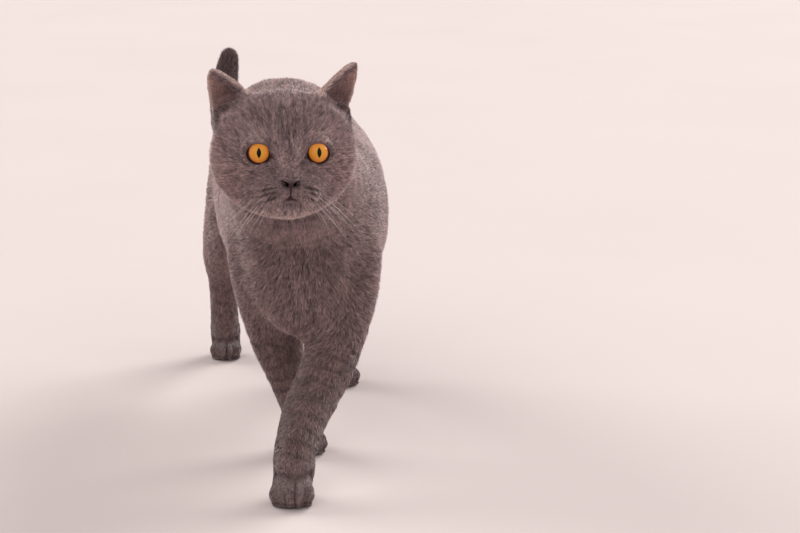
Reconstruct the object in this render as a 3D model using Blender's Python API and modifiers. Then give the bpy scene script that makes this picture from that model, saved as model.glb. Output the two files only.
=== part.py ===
"""A short-haired, cobby cat walking towards -Y, life size, as a still model.

Metres, +Z up. The cat faces -Y and its left side is +X. The origin is the bottom centre of
its bounding box. The body is modelled whole, from lofts and ellipsoids that one remesh
joins, and is then parted by thin cuts into its named pieces. All sizes are over the coat.
"""

import math

import bmesh
import bpy
from mathutils import Matrix, Vector

# ---------------------------------------------------------------- driving dimensions
BACK_HEIGHT = 0.316  # floor to the top of the back over the loins
HEAD_CENTRE = Vector((-0.0232, -0.2519, 0.303))  # middle of the skull, at eye level
HEAD_YAW = math.radians(2.5)  # turned a little to the cat's left
HEAD_PITCH = math.radians(6)  # nose lifted
HEAD_ROLL = math.radians(1.4)
EYE_SPACING = 0.0458  # between the two pupils
EYEBALL_RADIUS = 0.0112
EYE_FORWARD = 0.0312  # eyeball centre ahead of the skull's middle
EYE_GAP = 0.0004  # between the eyeball and its socket
EYE_OPENING = Vector((0.0098, 0.0130, 0.0082))  # half sizes of the opening between the lids
EYE_OPENING_OUT = 0.0010  # the opening sits this far outward of the eyeball
EAR_HALF_WIDTH = 0.0225
EAR_THICKNESS = 0.0045
EAR_ROOT = 0.018  # how far the ear's shell runs on into the head
SOLE_LEVEL = 0.0  # all four feet stand on flats at this level
CUT_GAP = 0.0003  # the thin cut between neighbouring pieces
BODY_VOXEL = 0.0022
EAR_VOXEL = 0.0018
TRIANGLES = 5640  # for the whole of the flesh, before it is parted
FLAT_ANGLE = math.radians(5)  # faces closer to flat than this are run together
RING_POINTS = 32

HEAD_FRAME = (
    Matrix.Translation(HEAD_CENTRE)
    @ Matrix.Rotation(HEAD_YAW, 4, "Z")
    @ Matrix.Rotation(-HEAD_PITCH, 4, "X")
    @ Matrix.Rotation(HEAD_ROLL, 4, "Y")
)

# ---------------------------------------------------------------- general helpers


def clear_scene():
    for obj in list(bpy.data.objects):
        bpy.data.objects.remove(obj, do_unlink=True)


def new_collection(name, hidden=False):
    collection = bpy.data.collections.new(name)
    bpy.context.scene.collection.children.link(collection)
    collection.hide_render = hidden
    return collection


def material(name, colour, roughness):
    made = bpy.data.materials.new(name)
    made.use_nodes = True
    shader = made.node_tree.nodes["Principled BSDF"]
    shader.inputs["Base Color"].default_value = (*colour, 1.0)
    shader.inputs["Roughness"].default_value = roughness
    return made


def object_from(bm, name, collection):
    mesh = bpy.data.meshes.new(name)
    bm.to_mesh(mesh)
    bm.free()
    obj = bpy.data.objects.new(name, mesh)
    collection.objects.link(obj)
    return obj


def evaluated_mesh(obj):
    graph = bpy.context.evaluated_depsgraph_get()
    return bpy.data.meshes.new_from_object(obj.evaluated_get(graph), depsgraph=graph)


def apply_modifiers(obj):
    made = evaluated_mesh(obj)
    obj.modifiers.clear()
    obj.data = made


def smooth_curve(values, steps):
    """Catmull-Rom points through a list of equally long tuples, steps to each interval."""
    rows = [Vector(v) for v in values]
    rows = [2 * rows[0] - rows[1]] + rows + [2 * rows[-1] - rows[-2]]
    out = []
    for i in range(1, len(rows) - 2):
        a, b, c, d = rows[i - 1 : i + 3]
        for step in range(steps):
            t = step / steps
            out.append(
                0.5 * (2 * b + (c - a) * t + (2 * a - 5 * b + 4 * c - d) * t * t
                       + (3 * b - a - 3 * c + d) * t ** 3)
            )
    return out + [rows[-2]]


def add_ellipsoid(bm, centre, radii, frame=Matrix()):
    matrix = frame @ Matrix.Translation(centre) @ Matrix.Diagonal((*radii, 1))
    bmesh.ops.create_uvsphere(bm, u_segments=32, v_segments=20, radius=1.0, matrix=matrix)


def ring(bm, point, side, up, upper=2.0, lower=2.0):
    """A loop of the section: squarer with a higher power, set apart for top and bottom."""
    loop = []
    for i in range(RING_POINTS):
        angle = 2 * math.pi * i / RING_POINTS
        power = upper if i <= RING_POINTS // 2 else lower
        across = math.copysign(abs(math.cos(angle)) ** (2 / power), math.cos(angle))
        along = math.copysign(abs(math.sin(angle)) ** (2 / power), math.sin(angle))
        loop.append(bm.verts.new(point + side * across + up * along))
    return loop


def skin_rings(bm, rings):
    for first, second in zip(rings, rings[1:]):
        for i in range(RING_POINTS):
            j = (i + 1) % RING_POINTS
            bm.faces.new((first[i], first[j], second[j], second[i]))
    bm.faces.new(rings[0])
    bm.faces.new(reversed(rings[-1]))
    bmesh.ops.recalc_face_normals(bm, faces=bm.faces)


def add_ribs(bm, ribs, frame=Matrix(), steps=4):
    """A loft along Y through ribs: y, x, half width, top, widest level, bottom, two powers."""
    rings = []
    for y, x, half, top, level, bottom, upper, lower in smooth_curve(ribs, steps):
        loop = ring(bm, Vector((x, y, 0)), Vector((half, 0, 0)), Vector((0, 0, 1)), upper, lower)
        for vert in loop:
            height = vert.co.z
            vert.co.z = level + height * ((top - level) if height > 0 else (level - bottom))
        rings.append(loop)
    for vert in [v for loop in rings for v in loop]:
        vert.co = frame @ vert.co
    skin_rings(bm, rings)


def add_limb(bm, stations, steps=6):
    """A round-ended limb through (x, y, z, side radius, fore-and-aft radius) stations."""
    rows = smooth_curve(stations, steps)
    sections = []
    for i, row in enumerate(rows):
        before, after = rows[max(i - 1, 0)], rows[min(i + 1, len(rows) - 1)]
        along = Vector((after - before)[:3]).normalized()
        side = Vector((1, 0, 0))
        side = (side - along * side.dot(along)).normalized()
        sections.append((Vector(row[:3]), along, side * row[3], along.cross(side) * row[4]))
    rings = []
    point, along, side, fore = sections[0]
    for angle in (86, 75, 55, 30):
        out, inward = math.sin(math.radians(angle)), math.cos(math.radians(angle))
        rings.append(ring(bm, point - along * fore.length * out, side * inward, fore * inward))
    for point, along, side, fore in sections:
        rings.append(ring(bm, point, side, fore))
    for angle in (30, 55, 75, 86):
        out, inward = math.sin(math.radians(angle)), math.cos(math.radians(angle))
        rings.append(ring(bm, point + along * fore.length * out, side * inward, fore * inward))
    skin_rings(bm, rings)


# ---------------------------------------------------------------- trunk and neck

# y, x, half width, top, widest level, bottom, squareness above and below
TRUNK_RIBS = (
    (-0.219, -0.006, 0.022, 0.240, 0.213, 0.184, 2.0, 2.0),
    (-0.211, -0.005, 0.038, 0.258, 0.212, 0.160, 2.0, 2.0),
    (-0.190, -0.001, 0.053, 0.279, 0.211, 0.128, 2.1, 2.0),
    (-0.155, 0.004, 0.064, 0.297, 0.210, 0.117, 2.2, 2.0),
    (-0.105, 0.008, 0.072, 0.305, 0.208, 0.114, 2.2, 2.0),
    (-0.055, 0.0105, 0.079, 0.304, 0.204, 0.112, 2.2, 1.95),
    (0.000, 0.0105, 0.082, 0.306, 0.203, 0.111, 2.2, 1.95),
    (0.050, 0.007, 0.079, 0.312, 0.207, 0.119, 2.2, 1.95),
    (0.095, 0.002, 0.073, BACK_HEIGHT, 0.220, 0.138, 2.2, 2.0),
    (0.130, -0.001, 0.062, 0.307, 0.232, 0.168, 2.2, 2.0),
    (0.152, -0.001, 0.043, 0.289, 0.240, 0.196, 2.1, 2.0),
    (0.161, -0.001, 0.022, 0.271, 0.245, 0.220, 2.0, 2.0),
)
# x, y, z, side radius, fore-and-aft radius
NECK = (
    (0.005, -0.110, 0.236, 0.066, 0.066),
    (-0.002, -0.150, 0.247, 0.064, 0.062),
    (-0.011, -0.190, 0.264, 0.059, 0.058),
    (-0.019, -0.225, 0.284, 0.053, 0.052),
)

# ---------------------------------------------------------------- legs

# Each leg from the body down to the foot: x, y, z, side radius, fore-and-aft radius.
LEGS = {
    "foreleg_left": (
        (0.042, -0.128, 0.215, 0.027, 0.040),
        (0.042, -0.160, 0.185, 0.0275, 0.038),
        (0.034, -0.172, 0.145, 0.0270, 0.032),
        (0.017, -0.190, 0.100, 0.0250, 0.0250),
        (-0.003, -0.213, 0.068, 0.0220, 0.0215),
        (-0.015, -0.235, 0.043, 0.0195, 0.0195),
        (-0.018, -0.246, 0.022, 0.0180, 0.0190),
    ),
    "foreleg_right": (
        (-0.038, -0.118, 0.215, 0.029, 0.040),
        (-0.038, -0.146, 0.185, 0.029, 0.037),
        (-0.033, -0.134, 0.146, 0.0265, 0.031),
        (-0.022, -0.119, 0.103, 0.0240, 0.0235),
        (-0.011, -0.113, 0.068, 0.0200, 0.0200),
        (-0.003, -0.113, 0.042, 0.0180, 0.0180),
        (0.001, -0.119, 0.022, 0.0170, 0.0180),
    ),
    "hindleg_left": (
        (0.040, 0.090, 0.235, 0.034, 0.052),
        (0.048, 0.076, 0.195, 0.033, 0.050),
        (0.057, 0.070, 0.155, 0.028, 0.038),
        (0.060, 0.097, 0.116, 0.0220, 0.0250),
        (0.060, 0.116, 0.085, 0.0175, 0.0195),
        (0.058, 0.107, 0.050, 0.0165, 0.0165),
        (0.057, 0.096, 0.022, 0.0170, 0.0170),
    ),
    "hindleg_right": (
        (-0.038, 0.098, 0.235, 0.034, 0.052),
        (-0.047, 0.106, 0.195, 0.0315, 0.050),
        (-0.055, 0.122, 0.155, 0.0265, 0.038),
        (-0.060, 0.163, 0.121, 0.0215, 0.0255),
        (-0.059, 0.192, 0.093, 0.0170, 0.0195),
        (-0.058, 0.203, 0.055, 0.0160, 0.0165),
        (-0.057, 0.206, 0.022, 0.0165, 0.0170),
    ),
}
# Each foot: x, y, size against a forepaw, turn.
FEET = {
    "foreleg_left": (-0.0198, -0.2530, 1.04, math.radians(-6)),
    "foreleg_right": (0.0025, -0.122, 0.98, math.radians(5)),
    "hindleg_left": (0.057, 0.085, 0.93, math.radians(4)),
    "hindleg_right": (-0.057, 0.198, 0.93, math.radians(-4)),
}
PAW_BALL = Vector((0.0172, 0.0190, 0.0160))
TOE_RADII = Vector((0.0058, 0.0125, 0.0108))
TOE_SPACING = 0.0086


def add_foot(bm, x, y, size, turn):
    """A round paw: the ball of the foot and four toes in an arc, the middle two ahead."""
    frame = Matrix.Translation((x, y, SOLE_LEVEL)) @ Matrix.Rotation(turn, 4, "Z")
    add_ellipsoid(bm, (0, 0.005, 0.0140 * size), PAW_BALL * size, frame)
    for toe in (-1.5, -0.5, 0.5, 1.5):
        ahead = 0.0128 - 0.0022 * toe * toe
        centre = Vector((toe * TOE_SPACING, -ahead, 0.0098)) * size
        spread = frame @ Matrix.Translation(centre) @ Matrix.Rotation(math.radians(7) * toe, 4, "Z")
        add_ellipsoid(bm, (0, 0, 0), TOE_RADII * size, spread)


# ---------------------------------------------------------------- tail

# x, y, z, side radius, fore-and-aft radius
TAIL = (
    (0.000, 0.120, 0.281, 0.0250, 0.0250),
    (-0.006, 0.160, 0.272, 0.0205, 0.0205),
    (-0.022, 0.202, 0.250, 0.0185, 0.0185),
    (-0.038, 0.245, 0.233, 0.0178, 0.0178),
    (-0.047, 0.287, 0.231, 0.0172, 0.0172),
    (-0.049, 0.323, 0.247, 0.0168, 0.0168),
    (-0.046, 0.345, 0.276, 0.0160, 0.0160),
    (-0.041, 0.352, 0.303, 0.0128, 0.0128),
)

# ---------------------------------------------------------------- head

# Ribs of the skull and cheeks in the head's own frame (X left, -Y to the nose, eyes at Z 0).
HEAD_RIBS = (
    (0.050, 0, 0.0250, 0.020, -0.004, -0.032, 2.0, 2.0),
    (0.045, 0, 0.0395, 0.033, -0.004, -0.044, 2.0, 2.0),
    (0.030, 0, 0.0532, 0.0445, -0.006, -0.0540, 2.1, 2.1),
    (0.010, 0, 0.0601, 0.0500, -0.006, -0.0560, 2.2, 2.0),
    (-0.008, 0, 0.0590, 0.0490, -0.006, -0.0560, 2.2, 2.0),
    (-0.020, 0, 0.0535, 0.0430, -0.008, -0.0550, 2.2, 2.0),
    (-0.029, 0, 0.0442, 0.0330, -0.012, -0.0540, 2.1, 2.1),
    (-0.036, 0, 0.0334, 0.0210, -0.014, -0.0510, 2.1, 2.1),
    (-0.041, 0, 0.0205, 0.0060, -0.018, -0.0470, 2.0, 2.0),
    (-0.043, 0, 0.0080, -0.0080, -0.020, -0.0360, 2.0, 2.0),
)
# Masses laid over it: centre, radii. Those off the middle are made on both sides.
HEAD_MASSES = (
    ((0.0335, -0.004, -0.015), (0.0245, 0.031, 0.0225)),  # cheek
    ((EYE_SPACING / 2, -EYE_FORWARD, 0.0008), (0.0142, 0.0126, 0.0138)),  # lids
    ((0, -0.0340, -0.0300), (0.0270, 0.0180, 0.0170)),  # muzzle
    ((0.0125, -0.0415, -0.0300), (0.0145, 0.0125, 0.0115)),  # whisker pad
    ((0, -0.0400, -0.0440), (0.0165, 0.0120, 0.0095)),  # chin
    ((0, -0.0470, -0.0200), (0.0100, 0.0108, 0.0090)),  # nose
    ((0, -0.0385, -0.0060), (0.0115, 0.0105, 0.0175)),  # bridge
    ((0.0400, 0.006, 0.024), (0.0190, 0.0150, 0.0150)),  # foot of the ear
)
# Each ear: side of the head, height, lean of its tip outwards, turn of its opening outwards.
EARS = {
    "ear_left": (1, 0.0475, math.radians(23), math.radians(32)),
    "ear_right": (-1, 0.0415, math.radians(28), math.radians(14)),
}
EAR_BASE = Vector((0.0380, 0.006, 0.031))
EAR_CUT = 0.012  # height above the base at which the ear is parted from the head
EAR_STEPS = 12


def add_head(bm):
    add_ribs(bm, HEAD_RIBS, HEAD_FRAME)
    for centre, radii in HEAD_MASSES:
        for side in (1, -1) if centre[0] else (1,):
            add_ellipsoid(bm, (centre[0] * side, *centre[1:]), radii, HEAD_FRAME)


def ear_frame(side, lean, turn):
    return (
        HEAD_FRAME
        @ Matrix.Translation((EAR_BASE.x * side, EAR_BASE.y, EAR_BASE.z))
        @ Matrix.Rotation(lean * side, 4, "Y")
        @ Matrix.Rotation(turn * side, 4, "Z")
        @ Matrix.Rotation(math.radians(6), 4, "X")
    )


def add_ear(bm, collection, height, frame):
    """A cupped shell with a round tip: an open sheet, thickened."""
    sheet = bmesh.new()
    bmesh.ops.create_grid(sheet, x_segments=EAR_STEPS, y_segments=EAR_STEPS, size=1.0)
    for vert in sheet.verts:
        across, up = vert.co.x, (vert.co.y + 1) / 2
        half = EAR_HALF_WIDTH * (1 - up ** 1.4) ** 0.66
        cup = 0.0135 * (1 - up) ** 0.6 * (1 - across * across)
        vert.co = Vector((across * half, cup - 0.004 * up * up, up * (height + EAR_ROOT) - EAR_ROOT))
    tip = [v for v in sheet.verts if v.co.z > height - 1e-5]
    bmesh.ops.pointmerge(sheet, verts=tip, merge_co=tip[0].co)
    obj = object_from(sheet, "ear sheet", collection)
    shell = obj.modifiers.new("thickness", "SOLIDIFY")
    shell.thickness = EAR_THICKNESS
    shell.offset = 0.0
    made = evaluated_mesh(obj)
    made.transform(frame)
    bm.from_mesh(made)
    bpy.data.objects.remove(obj, do_unlink=True)


# ---------------------------------------------------------------- the whole


def near_foot(point):
    """1 at the feet, falling to 0 above them."""
    return max(0.0, min(1.0, (0.045 - point.z) / 0.020))


def near_head(point):
    """1 on the head, falling to 0 down the neck."""
    local = HEAD_FRAME.inverted() @ point
    if local.length > 0.09:
        return 0.0
    return max(0.0, min(1.0, (0.045 - local.y) / 0.030)) * (1 - near_foot(point))


def elsewhere(point):
    return 1 - max(near_foot(point), near_head(point))


# Rounds of smoothing once the masses are joined.
SMOOTHING = {"feet": (near_foot, 3), "head": (near_head, 12), "body": (elsewhere, 22)}


def remesh(obj, size):
    joined = obj.modifiers.new("join", "REMESH")
    joined.mode = "VOXEL"
    joined.voxel_size = size
    apply_modifiers(obj)


def smooth(obj, turns, group=""):
    eased = obj.modifiers.new("ease", "SMOOTH")
    eased.factor = 0.5
    eased.iterations = turns
    eased.vertex_group = group
    apply_modifiers(obj)


def stand_on_flats(body):
    """Trims the soles off level and closes them."""
    bm = bmesh.new()
    bm.from_mesh(body.data)
    geometry = list(bm.verts) + list(bm.edges) + list(bm.faces)
    cut = bmesh.ops.bisect_plane(
        bm, geom=geometry, dist=1e-6, plane_co=(0, 0, SOLE_LEVEL), plane_no=(0, 0, 1), clear_inner=True
    )
    edges = [e for e in cut["geom_cut"] if isinstance(e, bmesh.types.BMEdge)]
    bmesh.ops.holes_fill(bm, edges=edges, sides=0)
    bmesh.ops.triangulate(bm, faces=bm.faces)
    bm.to_mesh(body.data)
    bm.free()


def whole_body(collection):
    """All the flesh as one closed, smoothed mesh, standing on its flats."""
    bm = bmesh.new()
    add_ribs(bm, TRUNK_RIBS)
    add_limb(bm, NECK)
    for name, stations in LEGS.items():
        add_limb(bm, stations)
        add_foot(bm, *FEET[name])
    add_limb(bm, TAIL, steps=5)
    add_head(bm)
    body = object_from(bm, "whole", collection)
    remesh(body, BODY_VOXEL)
    for name, (weight, turns) in SMOOTHING.items():
        group = body.vertex_groups.new(name=name)
        for vert in body.data.vertices:
            group.add([vert.index], weight(vert.co), "REPLACE")
        smooth(body, turns, name)
    bm = bmesh.new()
    bm.from_mesh(body.data)
    for side, height, lean, turn in EARS.values():
        add_ear(bm, collection, height, ear_frame(side, lean, turn))
    bm.to_mesh(body.data)
    bm.free()
    remesh(body, EAR_VOXEL)
    smooth(body, 3)
    thin = body.modifiers.new("fewer faces", "DECIMATE")
    thin.ratio = TRIANGLES / (2 * len(body.data.polygons))
    apply_modifiers(body)
    stand_on_flats(body)
    return body


# ---------------------------------------------------------------- the cuts


def facing(x, y, z, direction):
    """A frame at a point with its Z along a direction."""
    turned = Vector(direction).to_track_quat("Z", "Y").to_matrix().to_4x4()
    return Matrix.Translation((x, y, z)) @ turned


def sloped(x, y, z, outward, backward):
    """A frame at a point whose flat rises outward (+X) and backward (+Y) by these degrees."""
    return (
        Matrix.Translation((x, y, z))
        @ Matrix.Rotation(math.radians(-outward), 4, "Y")
        @ Matrix.Rotation(math.radians(backward), 4, "X")
    )


def ear_cut_frame(name):
    side, _, lean, turn = EARS[name]
    return ear_frame(side, lean, turn) @ Matrix.Translation((0, 0, EAR_CUT))


# Each thin cut: the frame it lies flat in, its half width and half length there.
CUTS = (
    (ear_cut_frame("ear_left"), 0.030, 0.022),
    (ear_cut_frame("ear_right"), 0.030, 0.022),
    (HEAD_FRAME @ sloped(0, 0.034, -0.010, 0, 65), 0.090, 0.085),
    (sloped(-0.006, -0.184, 0.264, 0, 48), 0.090, 0.072),
    (facing(0.005, -0.070, 0.215, (0, 1, 0)), 0.120, 0.120),
    (facing(0.005, 0.018, 0.215, (0, 1, 0)), 0.120, 0.120),
    (facing(-0.012, 0.176, 0.264, (-0.30, 0.86, -0.42)), 0.023, 0.023),
    (facing(-0.035, 0.236, 0.236, (-0.24, 0.93, -0.24)), 0.026, 0.026),
    (facing(-0.0480, 0.292, 0.232, (-0.05, 0.97, 0.20)), 0.026, 0.026),
    (facing(-0.0475, 0.335, 0.261, (0.09, 0.58, 0.81)), 0.024, 0.024),
    (sloped(0.029, -0.180, 0.122, 20, -15), 0.040, 0.038),
    (facing(0.004, -0.204, 0.079, (0.3, 0.35, 0.9)), 0.034, 0.034),
    (facing(-0.0165, -0.241, 0.034, (0.15, 0.2, 1)), 0.027, 0.027),
    (sloped(-0.026, -0.122, 0.116, -20, 0), 0.040, 0.036),
    (facing(-0.0150, -0.1150, 0.080, (-0.3, -0.1, 1)), 0.032, 0.030),
    (facing(-0.0010, -0.1160, 0.034, (-0.1, 0.1, 1)), 0.027, 0.025),
    (sloped(0.052, 0.080, 0.148, 35, 20), 0.052, 0.054),
    (facing(0.060, 0.108, 0.100, (0, -0.4, 1)), 0.030, 0.030),
    (facing(0.0575, 0.101, 0.034, (0, 0.3, 1)), 0.024, 0.024),
    (sloped(-0.054, 0.128, 0.152, -35, 37), 0.052, 0.058),
    (facing(-0.0595, 0.180, 0.104, (0, -0.6, 1)), 0.030, 0.030),
    (facing(-0.0575, 0.204, 0.034, (0, 0.1, 1)), 0.024, 0.024),
)
# A point near the middle of each piece the cuts leave.
PIECES = {
    "head": (-0.024, -0.255, 0.300),
    "ear_left": (0.033, -0.246, 0.355),
    "ear_right": (-0.070, -0.246, 0.355),
    "neck": (-0.012, -0.195, 0.265),
    "chest": (0.003, -0.130, 0.210),
    "belly": (0.008, -0.026, 0.208),
    "rump": (0.000, 0.085, 0.225),
    "tail_base": (-0.022, 0.205, 0.250),
    "tail_middle": (-0.042, 0.264, 0.233),
    "tail_bend": (-0.048, 0.315, 0.245),
    "tail_tip": (-0.044, 0.348, 0.290),
    "foreleg_left_upper": (0.018, -0.190, 0.102),
    "foreleg_left_lower": (-0.007, -0.222, 0.057),
    "foreleg_left_paw": (-0.020, -0.250, 0.015),
    "foreleg_right_upper": (-0.023, -0.120, 0.102),
    "foreleg_right_lower": (-0.007, -0.114, 0.057),
    "foreleg_right_paw": (0.002, -0.120, 0.015),
    "hindleg_left_upper": (0.058, 0.082, 0.130),
    "hindleg_left_lower": (0.059, 0.110, 0.067),
    "hindleg_left_paw": (0.057, 0.090, 0.015),
    "hindleg_right_upper": (-0.058, 0.145, 0.135),
    "hindleg_right_lower": (-0.058, 0.197, 0.069),
    "hindleg_right_paw": (-0.057, 0.200, 0.015),
}
# The bare end of the nose: the low and high corners of its box in the head's frame.
NOSE_BOX = (Vector((-0.0086, -0.080, -0.0262)), Vector((0.0086, -0.0495, -0.0148)))


def cutter_from(bm, name, collection):
    cutter = object_from(bm, name, collection)
    cutter.hide_render = True
    cutter.display_type = "WIRE"
    return cutter


def box(name, collection, frame, low, high):
    bm = bmesh.new()
    middle = Matrix.Translation((low + high) / 2) @ Matrix.Diagonal((*(high - low), 1))
    bmesh.ops.create_cube(bm, size=1.0, matrix=frame @ middle)
    return cutter_from(bm, name, collection)


def boolean(obj, cutter, operation):
    cut = obj.modifiers.new(operation.lower(), "BOOLEAN")
    cut.operation = operation
    cut.object = cutter
    cut.solver = "EXACT"
    apply_modifiers(obj)


def islands(obj):
    """The separate closed pieces of a mesh, each as its set of faces."""
    bm = bmesh.new()
    bm.from_mesh(obj.data)
    bm.faces.ensure_lookup_table()
    seen = set()
    found = []
    for start in bm.faces:
        if start.index in seen:
            continue
        group, reach = [], [start]
        seen.add(start.index)
        while reach:
            face = reach.pop()
            group.append(face.index)
            for other in (f for edge in face.edges for f in edge.link_faces):
                if other.index not in seen:
                    seen.add(other.index)
                    reach.append(other)
        found.append(set(group))
    bm.free()
    return found


def keep_faces(obj, name, kept, collection):
    bm = bmesh.new()
    bm.from_mesh(obj.data)
    bmesh.ops.delete(bm, geom=[f for f in bm.faces if f.index not in kept], context="FACES")
    return object_from(bm, name, collection)


def thin_out(obj):
    """Runs together the faces that lie all but flat with each other."""
    flat = obj.modifiers.new("fewer faces", "DECIMATE")
    flat.decimate_type = "DISSOLVE"
    flat.angle_limit = FLAT_ANGLE
    obj.modifiers.new("triangles", "TRIANGULATE")
    apply_modifiers(obj)


def middle_of(obj):
    points = [vert.co for vert in obj.data.vertices]
    low = Vector([min(p[i] for p in points) for i in range(3)])
    high = Vector([max(p[i] for p in points) for i in range(3)])
    return (low + high) / 2


def cut_apart(whole, parts, cutters):
    """Runs every thin cut through the whole and names what falls apart."""
    bm = bmesh.new()
    for frame, half_width, half_length in CUTS:
        slab = Matrix.Diagonal((2 * half_width, 2 * half_length, CUT_GAP, 1))
        bmesh.ops.create_cube(bm, size=1.0, matrix=frame @ slab)
    boolean(whole, cutter_from(bm, "thin cuts", cutters), "DIFFERENCE")
    for faces in islands(whole):
        piece = keep_faces(whole, "piece", faces, parts)
        thin_out(piece)
        centre = middle_of(piece)
        piece.name = min(PIECES, key=lambda name: (Vector(PIECES[name]) - centre).length)


def part_nose(head, parts, cutters):
    """Takes the bare end of the nose off the head, past a thin gap."""
    low, high = NOSE_BOX
    gap = Vector((CUT_GAP,) * 3)
    nose = bpy.data.objects.new("nose", head.data.copy())
    parts.objects.link(nose)
    boolean(nose, box("nose box", cutters, HEAD_FRAME, low, high), "INTERSECT")
    boolean(head, box("nose gap", cutters, HEAD_FRAME, low - gap, high + gap), "DIFFERENCE")


def ball(name, collection, centre, radii):
    """A ball in the head's frame with its poles front and back."""
    bm = bmesh.new()
    poles = Matrix.Rotation(math.radians(90), 4, "X")
    place = HEAD_FRAME @ Matrix.Translation(centre) @ Matrix.Diagonal((*radii, 1)) @ poles
    bmesh.ops.create_uvsphere(bm, u_segments=18, v_segments=11, radius=1.0, matrix=place)
    return object_from(bm, name, collection)


def set_eyes(head, parts, cutters):
    """An eyeball on each side, in a socket sunk into the head."""
    for name, side in (("eye_left", 1), ("eye_right", -1)):
        centre = Vector((side * EYE_SPACING / 2, -EYE_FORWARD, 0))
        front = centre + Vector((side * EYE_OPENING_OUT, -EYEBALL_RADIUS, 0))
        hollow = ball(name + " socket", cutters, centre, (EYEBALL_RADIUS + EYE_GAP,) * 3)
        opening = ball(name + " opening", cutters, front, EYE_OPENING)
        for cutter in (hollow, opening):
            cutter.hide_render = True
            cutter.display_type = "WIRE"
            boolean(head, cutter, "DIFFERENCE")
        ball(name, parts, centre, (EYEBALL_RADIUS,) * 3)


def finish(parts):
    """Materials, smooth shading, and the origin at the bottom centre of the box."""
    coat = material("coat", (0.105, 0.085, 0.088), 0.75)
    leather = material("nose_leather", (0.060, 0.042, 0.045), 0.45)
    iris = material("eye", (0.62, 0.26, 0.03), 0.08)
    points = [vert.co for obj in parts.objects for vert in obj.data.vertices]
    low = [min(p[i] for p in points) for i in range(3)]
    high = [max(p[i] for p in points) for i in range(3)]
    centre = Vector(((low[0] + high[0]) / 2, (low[1] + high[1]) / 2, low[2]))
    for obj in parts.objects:
        obj.data.transform(Matrix.Translation(-centre))
        obj.data.materials.clear()
        made = iris if obj.name.startswith("eye") else leather if obj.name == "nose" else coat
        obj.data.materials.append(made)
        obj.data.shade_smooth()


def main():
    clear_scene()
    parts = new_collection("walking_cat")
    cutters = new_collection("cutters", hidden=True)
    whole = whole_body(cutters)
    cut_apart(whole, parts, cutters)
    bpy.data.objects.remove(whole, do_unlink=True)
    head = bpy.data.objects["head"]
    part_nose(head, parts, cutters)
    set_eyes(head, parts, cutters)
    finish(parts)


main()
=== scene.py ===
import math

import bmesh
import bpy
import numpy as np
from mathutils import Matrix, Vector
from mathutils.bvhtree import BVHTree
from mathutils.kdtree import KDTree


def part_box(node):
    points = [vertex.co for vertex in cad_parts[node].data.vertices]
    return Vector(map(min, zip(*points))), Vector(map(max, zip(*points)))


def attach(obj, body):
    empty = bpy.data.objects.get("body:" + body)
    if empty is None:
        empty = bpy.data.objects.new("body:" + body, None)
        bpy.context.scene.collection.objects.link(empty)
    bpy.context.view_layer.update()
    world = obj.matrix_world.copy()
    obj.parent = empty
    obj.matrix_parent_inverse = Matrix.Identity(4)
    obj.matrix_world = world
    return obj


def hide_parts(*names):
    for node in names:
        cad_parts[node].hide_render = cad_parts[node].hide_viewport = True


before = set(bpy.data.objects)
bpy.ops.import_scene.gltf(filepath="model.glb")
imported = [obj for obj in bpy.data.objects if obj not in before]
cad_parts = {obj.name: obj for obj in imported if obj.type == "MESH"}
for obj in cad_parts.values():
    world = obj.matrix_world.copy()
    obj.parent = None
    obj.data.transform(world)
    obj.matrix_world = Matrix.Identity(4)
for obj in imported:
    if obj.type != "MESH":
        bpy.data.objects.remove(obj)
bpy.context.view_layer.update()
rng = np.random.default_rng(11)  # another number grows other hairs of the same kind
print("frame loaded:", len(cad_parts), "nodes")


# small sums used everywhere

def smoothStep(low, high, value):
    t = np.clip((value - low) / (high - low), 0, 1)
    return t * t * (3 - 2 * t)


def hump(value, centre, spread):
    return np.exp(-(((value - centre) / spread) ** 2))


def unit(vectors):
    return vectors / np.maximum(np.linalg.norm(vectors, axis=-1, keepdims=True), 1e-12)


def mix(a, b, share):
    return a + (b - a) * share


def srgb(red, green, blue):
    # a colour as a painter reads it, made linear
    return np.array([(c / 255) ** 2.2 for c in (red, green, blue)])


latticeSize = 32
lattice = rng.random((latticeSize,) * 3) * 2 - 1


def noiseAt(points, grain, shift=0.0):
    # smooth noise from -1 to 1, with lumps about one grain across
    place = points / grain + shift
    cell = np.floor(place).astype(int)
    part = place - cell
    part = part * part * (3 - 2 * part)
    total = np.zeros(len(points))
    for corner in np.ndindex(2, 2, 2):
        share = np.prod(np.where(corner, part, 1 - part), axis=1)
        at = (cell + corner) % latticeSize
        total += share * lattice[at[:, 0], at[:, 1], at[:, 2]]
    return total


def middleOf(node):
    low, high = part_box(node)
    return (low + high) / 2


def asArray(vector):
    return np.array(vector, float)


def newObject(name, data):
    made = bpy.data.objects.new(name, data)
    bpy.context.scene.collection.objects.link(made)
    return made


def applyModifiers(obj):
    depsgraph = bpy.context.evaluated_depsgraph_get()
    shaped = bpy.data.meshes.new_from_object(obj.evaluated_get(depsgraph))
    obj.modifiers.clear()
    obj.data = shaped
    return shaped


def smoothFaces(mesh):
    mesh.polygons.foreach_set("use_smooth", np.ones(len(mesh.polygons), bool))


# the head's own axes: X to the cat's left, -Y to the nose, Z up, eyes at Z 0

headPose = {"nosePitch": math.radians(6), "eyesAhead": 0.0312}


def headAxes():
    across = (middleOf("eye_left") - middleOf("eye_right")).normalized()
    turn = math.atan2(across.y, across.x)
    pitch = headPose["nosePitch"]
    level = math.cos(pitch)
    back = Vector((-math.sin(turn) * level, math.cos(turn) * level, -math.sin(pitch)))
    up = across.cross(back).normalized()
    back = up.cross(across)
    return np.array([across, back, up]).T


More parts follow.
